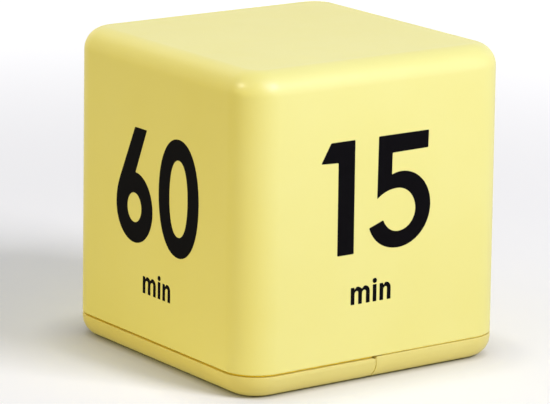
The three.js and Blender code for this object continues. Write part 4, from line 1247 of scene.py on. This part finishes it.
def makeChip():
    angles = [step / chip["steps"] * math.pi / 2 for step in range(chip["steps"])]
    dome = [(chip["radius"] * math.cos(a) ** chip["bulge"], chip["height"] * math.sin(a)) for a in angles]
    body = turned([(0, 0), *dome, (0, chip["height"])], footOf("chip_blob"))
    dressed(meshOf("chip_dome", [body]), "poured epoxy", "case", ["chip_blob"])


def makeCrystal():
    middle, far = middleOf("crystal_can"), boxOf("crystal_can")[1].y
    radius, length, flare = crystal["radius"], crystal["length"], crystal["flare"]
    neck = radius - crystal["neck"]
    profile = [(0, 0), (radius, 0), (radius, flare), (neck, 2 * flare), (neck, length), (0, length)]
    body = easedTurned(profile, crystal["edge"], Vector((middle.x, far, middle.z)), Vector((0, -1, 0)))
    dressed(meshOf("crystal_shell", [body]), "tinned steel", "case", ["crystal_can"])


def makeCapacitor():
    foot = footOf("capacitor")
    radius, height, groove, sink = [capacitor[key] for key in ("radius", "height", "groove", "topSink")]
    crimp, neck, waist = radius - capacitor["crimp"], radius - groove, capacitor["grooveFoot"]
    ledge, topFoot = height - 2 * sink, height - capacitor["topThickness"]
    sleeve = [(0, capacitor["sleeveFoot"]), (neck, 0), (radius, groove), (radius, waist),
              (neck, waist + groove), (radius, waist + 2 * groove), (radius, height - groove), (neck, height),
              (crimp, height), (crimp, ledge), (0, ledge)]
    top = [(0, topFoot), (crimp + capacitor["topFlare"], topFoot), (crimp, height - sink), (0, height - sink)]
    bodies = [(*easedTurned(sleeve, capacitor["edge"], foot), 0), (*turned(top, foot), 1)]
    dressed(meshOf("capacitor_can", bodies), ["capacitor sleeve", "tinned steel"], "case",
            ["capacitor"])


# The sounder: node, piece, finish, slot, wall (0 for a full disc) and edge
sounderSides = 72
sounderParts = [
    ("buzzer_disc", "buzzer_plate", "rolled brass", "brass_sheet", 0, 0.05),
    ("buzzer_ceramic", "buzzer_film", "fired silver", "ceramic_film", 0, 0.05),
    ("foam_ring", "foam_collar", "cut foam", "silicone_rubber", 1.4, 0.1),
]


def makeSounder():
    for node, name, finishName, slotName, wall, edge in sounderParts:
        low, high = boxOf(node)
        radius, height = (high.x - low.x) / 2, high.z - low.z
        inner = radius - wall if wall else 0
        profile = [(inner, 0), (radius, 0), (radius, height), (inner, height)]
        if wall:
            profile.append(profile[0])
        body = easedTurned(profile, edge, footOf(node), sides=sounderSides)
        dressed(meshOf(name, [body]), finishName, "case", [node])


# Tilt switch: a drawn can over a plug with two pins, and the loose ball that closes the contact
tilt = {"radius": 2.1, "wall": 0.35, "length": 6.4, "canFoot": 1.1, "canEdge": 0.2, "sides": 40,
        "flange": 0.8, "spigot": 1.2, "spigotRadius": 1.45, "plugEdge": 0.12,
        "ballRadius": 1.25, "ballRest": 3.55, "ballSteps": 16, "ballSides": 32,
        "pinRadius": 0.25, "pinSpread": 1.1, "pinEdge": 0.06, "pinSides": 16}


def makeTiltSwitch(number):
    ball = middleOf(f"tilt_ball_{number}")
    joint = next(j for j in frame["joints"] if j["name"] == f"ball_{number}_roll")
    along = Vector(joint["axis"])
    foot = ball - along * tilt["ballRest"]
    outer, inner, length = tilt["radius"], tilt["radius"] - tilt["wall"], tilt["length"]
    can = [(inner, 0), (outer, 0), (outer, length), (0, length), (0, length - tilt["wall"]),
           (inner, length - tilt["wall"]), (inner, 0)]
    shell = easedTurned(can, tilt["canEdge"], foot + along * tilt["canFoot"], along, tilt["sides"])
    dressed(weighted(meshOf(f"switch_can_{number}", [shell])), "tinned steel", "case",
            [f"tilt_can_{number}"])
    flange, spigotEnd = tilt["flange"], tilt["flange"] + tilt["spigot"]
    plug = [(0, 0), (outer, 0), (outer, flange), (tilt["spigotRadius"], flange),
            (tilt["spigotRadius"], spigotEnd), (0, spigotEnd)]
    bodies = [(*easedTurned(plug, tilt["plugEdge"], foot, along, tilt["sides"]), 0)]
    level = Vector((along.x, along.y, 0)).normalized()
    beside = up.cross(level)
    pinFoot = boxOf(f"tilt_plug_{number}")[0].z
    pin = [(0, 0), (tilt["pinRadius"], 0), (tilt["pinRadius"], foot.z - pinFoot), (0, foot.z - pinFoot)]
    for side in (-1, 1):
        base = foot + level * flange / 2 + beside * side * tilt["pinSpread"]
        base.z = pinFoot
        bodies.append((*easedTurned(pin, tilt["pinEdge"], base, sides=tilt["pinSides"]), 1))
    dressed(meshOf(f"switch_plug_{number}", bodies), ["moulded black POM", "tinned steel"], "case",
            [f"tilt_plug_{number}"])
    halfRound = arcPoints((0, 0), tilt["ballRadius"], -90, 90, tilt["ballSteps"])
    halfRound[0], halfRound[-1] = (0, -tilt["ballRadius"]), (0, tilt["ballRadius"])
    body = turned(halfRound, ball, along, tilt["ballSides"])
    dressed(meshOf(f"steel_ball_{number}", [body], roundDegrees), "plated spring wire", f"ball_{number}",
            [f"tilt_ball_{number}"])


makeChip()
makeCrystal()
makeCapacitor()
makeSounder()
for number in range(1, 5):
    makeTiltSwitch(number)


# The CAD solids that stay as they are, with their finishes
keptFinishes = {
    "lcd_window": "cast acrylic",
    "lcd_panel": "polarising film",
    "lcd_holder": "moulded white HIPS",
    "zebra_strip": "layered silicone",
    "circuit_board": "masked laminate",
    "switch_frame": "tinned steel",
    "contact_minus": "plated spring wire",
    "contact_plus": "plated spring wire",
    "contact_bridge": "plated spring wire",
}
for node, name in keptFinishes.items():
    for slot in frame["nodes"][node].material_slots:
        slot.material = finish[name]
print("small parts dressed")


# Floor and light

stageSet = {
    "floorSize": 8.0,
    "floorDrop": 0.02,  # so that no face of the object lies in the floor's own plane
    "seenPaper": "#eaeaec",
    "bouncePaper": "#a6a6a6",
    "nearGlow": 0.29,
    "farGlow": 0.72,
    "nearReach": 0.12,
    "farReach": 0.5,
    # Painted shade: near the object the paper's colour darkens and its glow fades, a painted contact shadow
    "contactMm": 1.6,  # the paper darkens where the object is closer than this
    "contactDepth": 0.25,
    "nearbyMm": 12,  # and its glow fades within this
    "nearbyDepth": 2.2,
    "occlusionSamples": 8,
    "glossShare": 0.4,  # of the glow, with which gloss shows the paper just white
    "skyAbove": 0.29,
    "skyLeft": 0.54,
    "skyLeftAzimuth": -110,
}


# One where the camera looks at a surface, straight or through glass, and a share of it in gloss
def addSight(tree, glossShare=1.0):
    path = addNode(tree, "ShaderNodeLightPath").outputs
    gloss = addNode(tree, "ShaderNodeMath", {0: path["Is Glossy Ray"], 1: glossShare}, operation="MULTIPLY")
    seen = gloss
    for ray in ("Is Camera Ray", "Is Transmission Ray"):
        seen = addNode(tree, "ShaderNodeMath", {0: seen.outputs[0], 1: path[ray]}, operation="MAXIMUM")
    return seen.outputs[0]


# White paper: the camera sees it a little brighter than the object does, and it keeps the object's shadow
def makeFloor():
    half, z = stageSet["floorSize"] / 2, -stageSet["floorDrop"] * mm
    corners = [(-half, -half, z), (half, -half, z), (half, half, z), (-half, half, z)]
    floor = linked("floor", bpy.data.meshes.new("floor"))
    floor.data.from_pydata(corners, [], [(0, 1, 2, 3)])
    material, tree, place = newMaterial("paper sweep")
    tint = addNode(tree, "ShaderNodeMix", {
        0: addSight(tree), 6: colour(stageSet["bouncePaper"]), 7: colour(stageSet["seenPaper"])},
        data_type="RGBA")
    # Painted contact shadow: occlusion by the object darkens the paper's colour and fades its glow
    paintedContactShade, paintedGlowShade = [
        addNode(tree, "ShaderNodeMath", {
            0: addNode(tree, "ShaderNodeAmbientOcclusion", {"Distance": stageSet[reach] * mm},
                       samples=stageSet["occlusionSamples"]).outputs["AO"],
            1: stageSet[depth]}, operation="POWER").outputs[0]
        for reach, depth in (("contactMm", "contactDepth"), ("nearbyMm", "nearbyDepth"))]
    dimmed = addNode(tree, "ShaderNodeVectorMath", {0: tint.outputs[2], "Scale": paintedContactShade}, operation="SCALE")
    paper = addNode(tree, "ShaderNodeBsdfDiffuse", {"Color": dimmed.outputs["Vector"]})
    distance = addNode(tree, "ShaderNodeVectorMath", {0: place}, operation="LENGTH")
    level = addNode(tree, "ShaderNodeMapRange", {
        "Value": distance.outputs["Value"],
        "From Min": stageSet["nearReach"], "From Max": stageSet["farReach"],
        "To Min": stageSet["nearGlow"], "To Max": stageSet["farGlow"]}, interpolation_type="SMOOTHSTEP")
    shown = addNode(tree, "ShaderNodeMath", {0: addSight(tree, stageSet["glossShare"]), 1: paintedGlowShade},
                    operation="MULTIPLY")
    strength = addNode(tree, "ShaderNodeMath", {0: shown.outputs[0], 1: level.outputs["Result"]},
                       operation="MULTIPLY")
    glow = addNode(tree, "ShaderNodeEmission", {"Color": (1, 1, 1, 1), "Strength": strength.outputs[0]})
    both = addNode(tree, "ShaderNodeAddShader", {0: paper.outputs[0], 1: glow.outputs[0]})
    clear = addNode(tree, "ShaderNodeBsdfTransparent")
    below = addNode(tree, "ShaderNodeNewGeometry").outputs["Backfacing"]  # a camera below sees through it
    mix = addNode(tree, "ShaderNodeMixShader", {0: below, 1: both.outputs[0], 2: clear.outputs[0]})
    addNode(tree, "ShaderNodeOutputMaterial", {"Surface": mix.outputs[0]})
    floor.data.materials.append(material)
    return floor


# A white room whose light comes mostly from the left and a little from above
def makeWorld():
    world = bpy.data.worlds.new("studio")
    bpy.context.scene.world = world
    world.use_nodes = True
    tree = world.node_tree
    tree.nodes.clear()
    way = addNode(tree, "ShaderNodeTexCoord").outputs["Generated"]
    lobes = []
    for towards in (up * stageSet["skyAbove"], facing(stageSet["skyLeftAzimuth"]) * stageSet["skyLeft"]):
        share = addNode(tree, "ShaderNodeVectorMath", {0: way, 1: towards}, operation="DOT_PRODUCT")
        lobes.append(addNode(tree, "ShaderNodeMath", {0: share.outputs["Value"], 1: 0.0},
                             operation="MAXIMUM").outputs[0])
    level = addNode(tree, "ShaderNodeMath", {0: lobes[0], 1: lobes[1]}, operation="ADD")
    strength = addNode(tree, "ShaderNodeMix", {0: addSight(tree), 2: level.outputs[0], 3: 1.0},
                       data_type="FLOAT")
    sky = addNode(tree, "ShaderNodeBackground", {"Color": (1, 1, 1, 1), "Strength": strength.outputs[0]})
    addNode(tree, "ShaderNodeOutputWorld", {"Surface": sky.outputs[0]})


# A square lamp that shines at the middle of the cube; distance and size in metres, power in watts
def lampAt(azimuth, elevation, distance, size, power, tint, *ways):
    return {"azimuth": azimuth, "elevation": elevation, "distance": distance, "size": size, "power": power,
            "tint": tint, "ways": ways}


# The key and the floor's key give the shadow; every other lamp reaches the object alone. Gloss shows only
# some of them, and one shows only in gloss, so that the roundings have two glints and no pale face clips
lamps = {
    "keyBox": lampAt(22, 36, 1.4, 0.5, 6.2, "#fdfbff", "on all"),
    "floorKey": lampAt(22, 36, 1.4, 0.5, 8.9, "#fdfbff", "floor only", "no gloss"),
    "lowFront": lampAt(18, 9, 1.4, 0.5, 8.1, "#f1ecff", "no gloss"),
    "topBack": lampAt(178, 35, 1.2, 0.6, 5.6, "#fdfbff", "no gloss"),
    "overBox": lampAt(10, 60, 0.42, 0.3, 0.29, "#4080ff"),
    "warmCard": lampAt(-70, 3, 1.2, 0.6, 2.5, "#ffdf50"),
    "farWarmCard": lampAt(-95, 16, 1.2, 0.6, 2.7, "#ffe850"),
    "coolCard": lampAt(45, 4, 1.2, 0.6, 5.4, "#a3b4ff", "no gloss"),
    "coolFront": lampAt(0, 38, 0.22, 0.1, 0.2, "#87a0ff"),
    "leftGlint": lampAt(-99, 38, 1.4, 0.2, 6, "#fffbe8", "gloss only"),
    "leftBounce": lampAt(-85, -26, 0.11, 0.08, 0.012, "#f4f6ff", "through the floor", "no gloss"),
    "backCard": lampAt(135, 0, 1.2, 0.6, 5, "#ffffff", "no gloss"),
    "underBox": lampAt(20, -84, 0.11, 0.02, 0.02, "#ffffff", "through the floor", "no gloss"),
}


def makeLamps(floor):
    noFloor = bpy.data.collections.new("all but the floor")
    noFloor.objects.link(floor)
    noFloor.collection_objects[0].light_linking.link_state = "EXCLUDE"
    onlyFloor = bpy.data.collections.new("the floor alone")
    onlyFloor.objects.link(floor)
    for name, lamp in lamps.items():
        back = facing(lamp["azimuth"], lamp["elevation"])
        data = bpy.data.lights.new(name, "AREA")
        data.shape = "SQUARE"
        data.size = lamp["size"]
        data.energy = lamp["power"]
        data.color = colour(lamp["tint"])[:3]
        obj = linked(name, data)
        obj.location = back * lamp["distance"] + up * cubeHeight / 2 * mm
        obj.rotation_euler = back.to_track_quat("Z", "Y").to_euler()
        obj.visible_camera = False
        obj.visible_glossy = "no gloss" not in lamp["ways"]
        obj.visible_diffuse = "gloss only" not in lamp["ways"]
        if "on all" not in lamp["ways"]:
            obj.light_linking.receiver_collection = onlyFloor if "floor only" in lamp["ways"] else noFloor
        if "through the floor" in lamp["ways"]:
            obj.light_linking.blocker_collection = noFloor


makeWorld()
makeLamps(makeFloor())
print("stage set")

bpy.context.scene.view_settings.view_transform = "Standard"
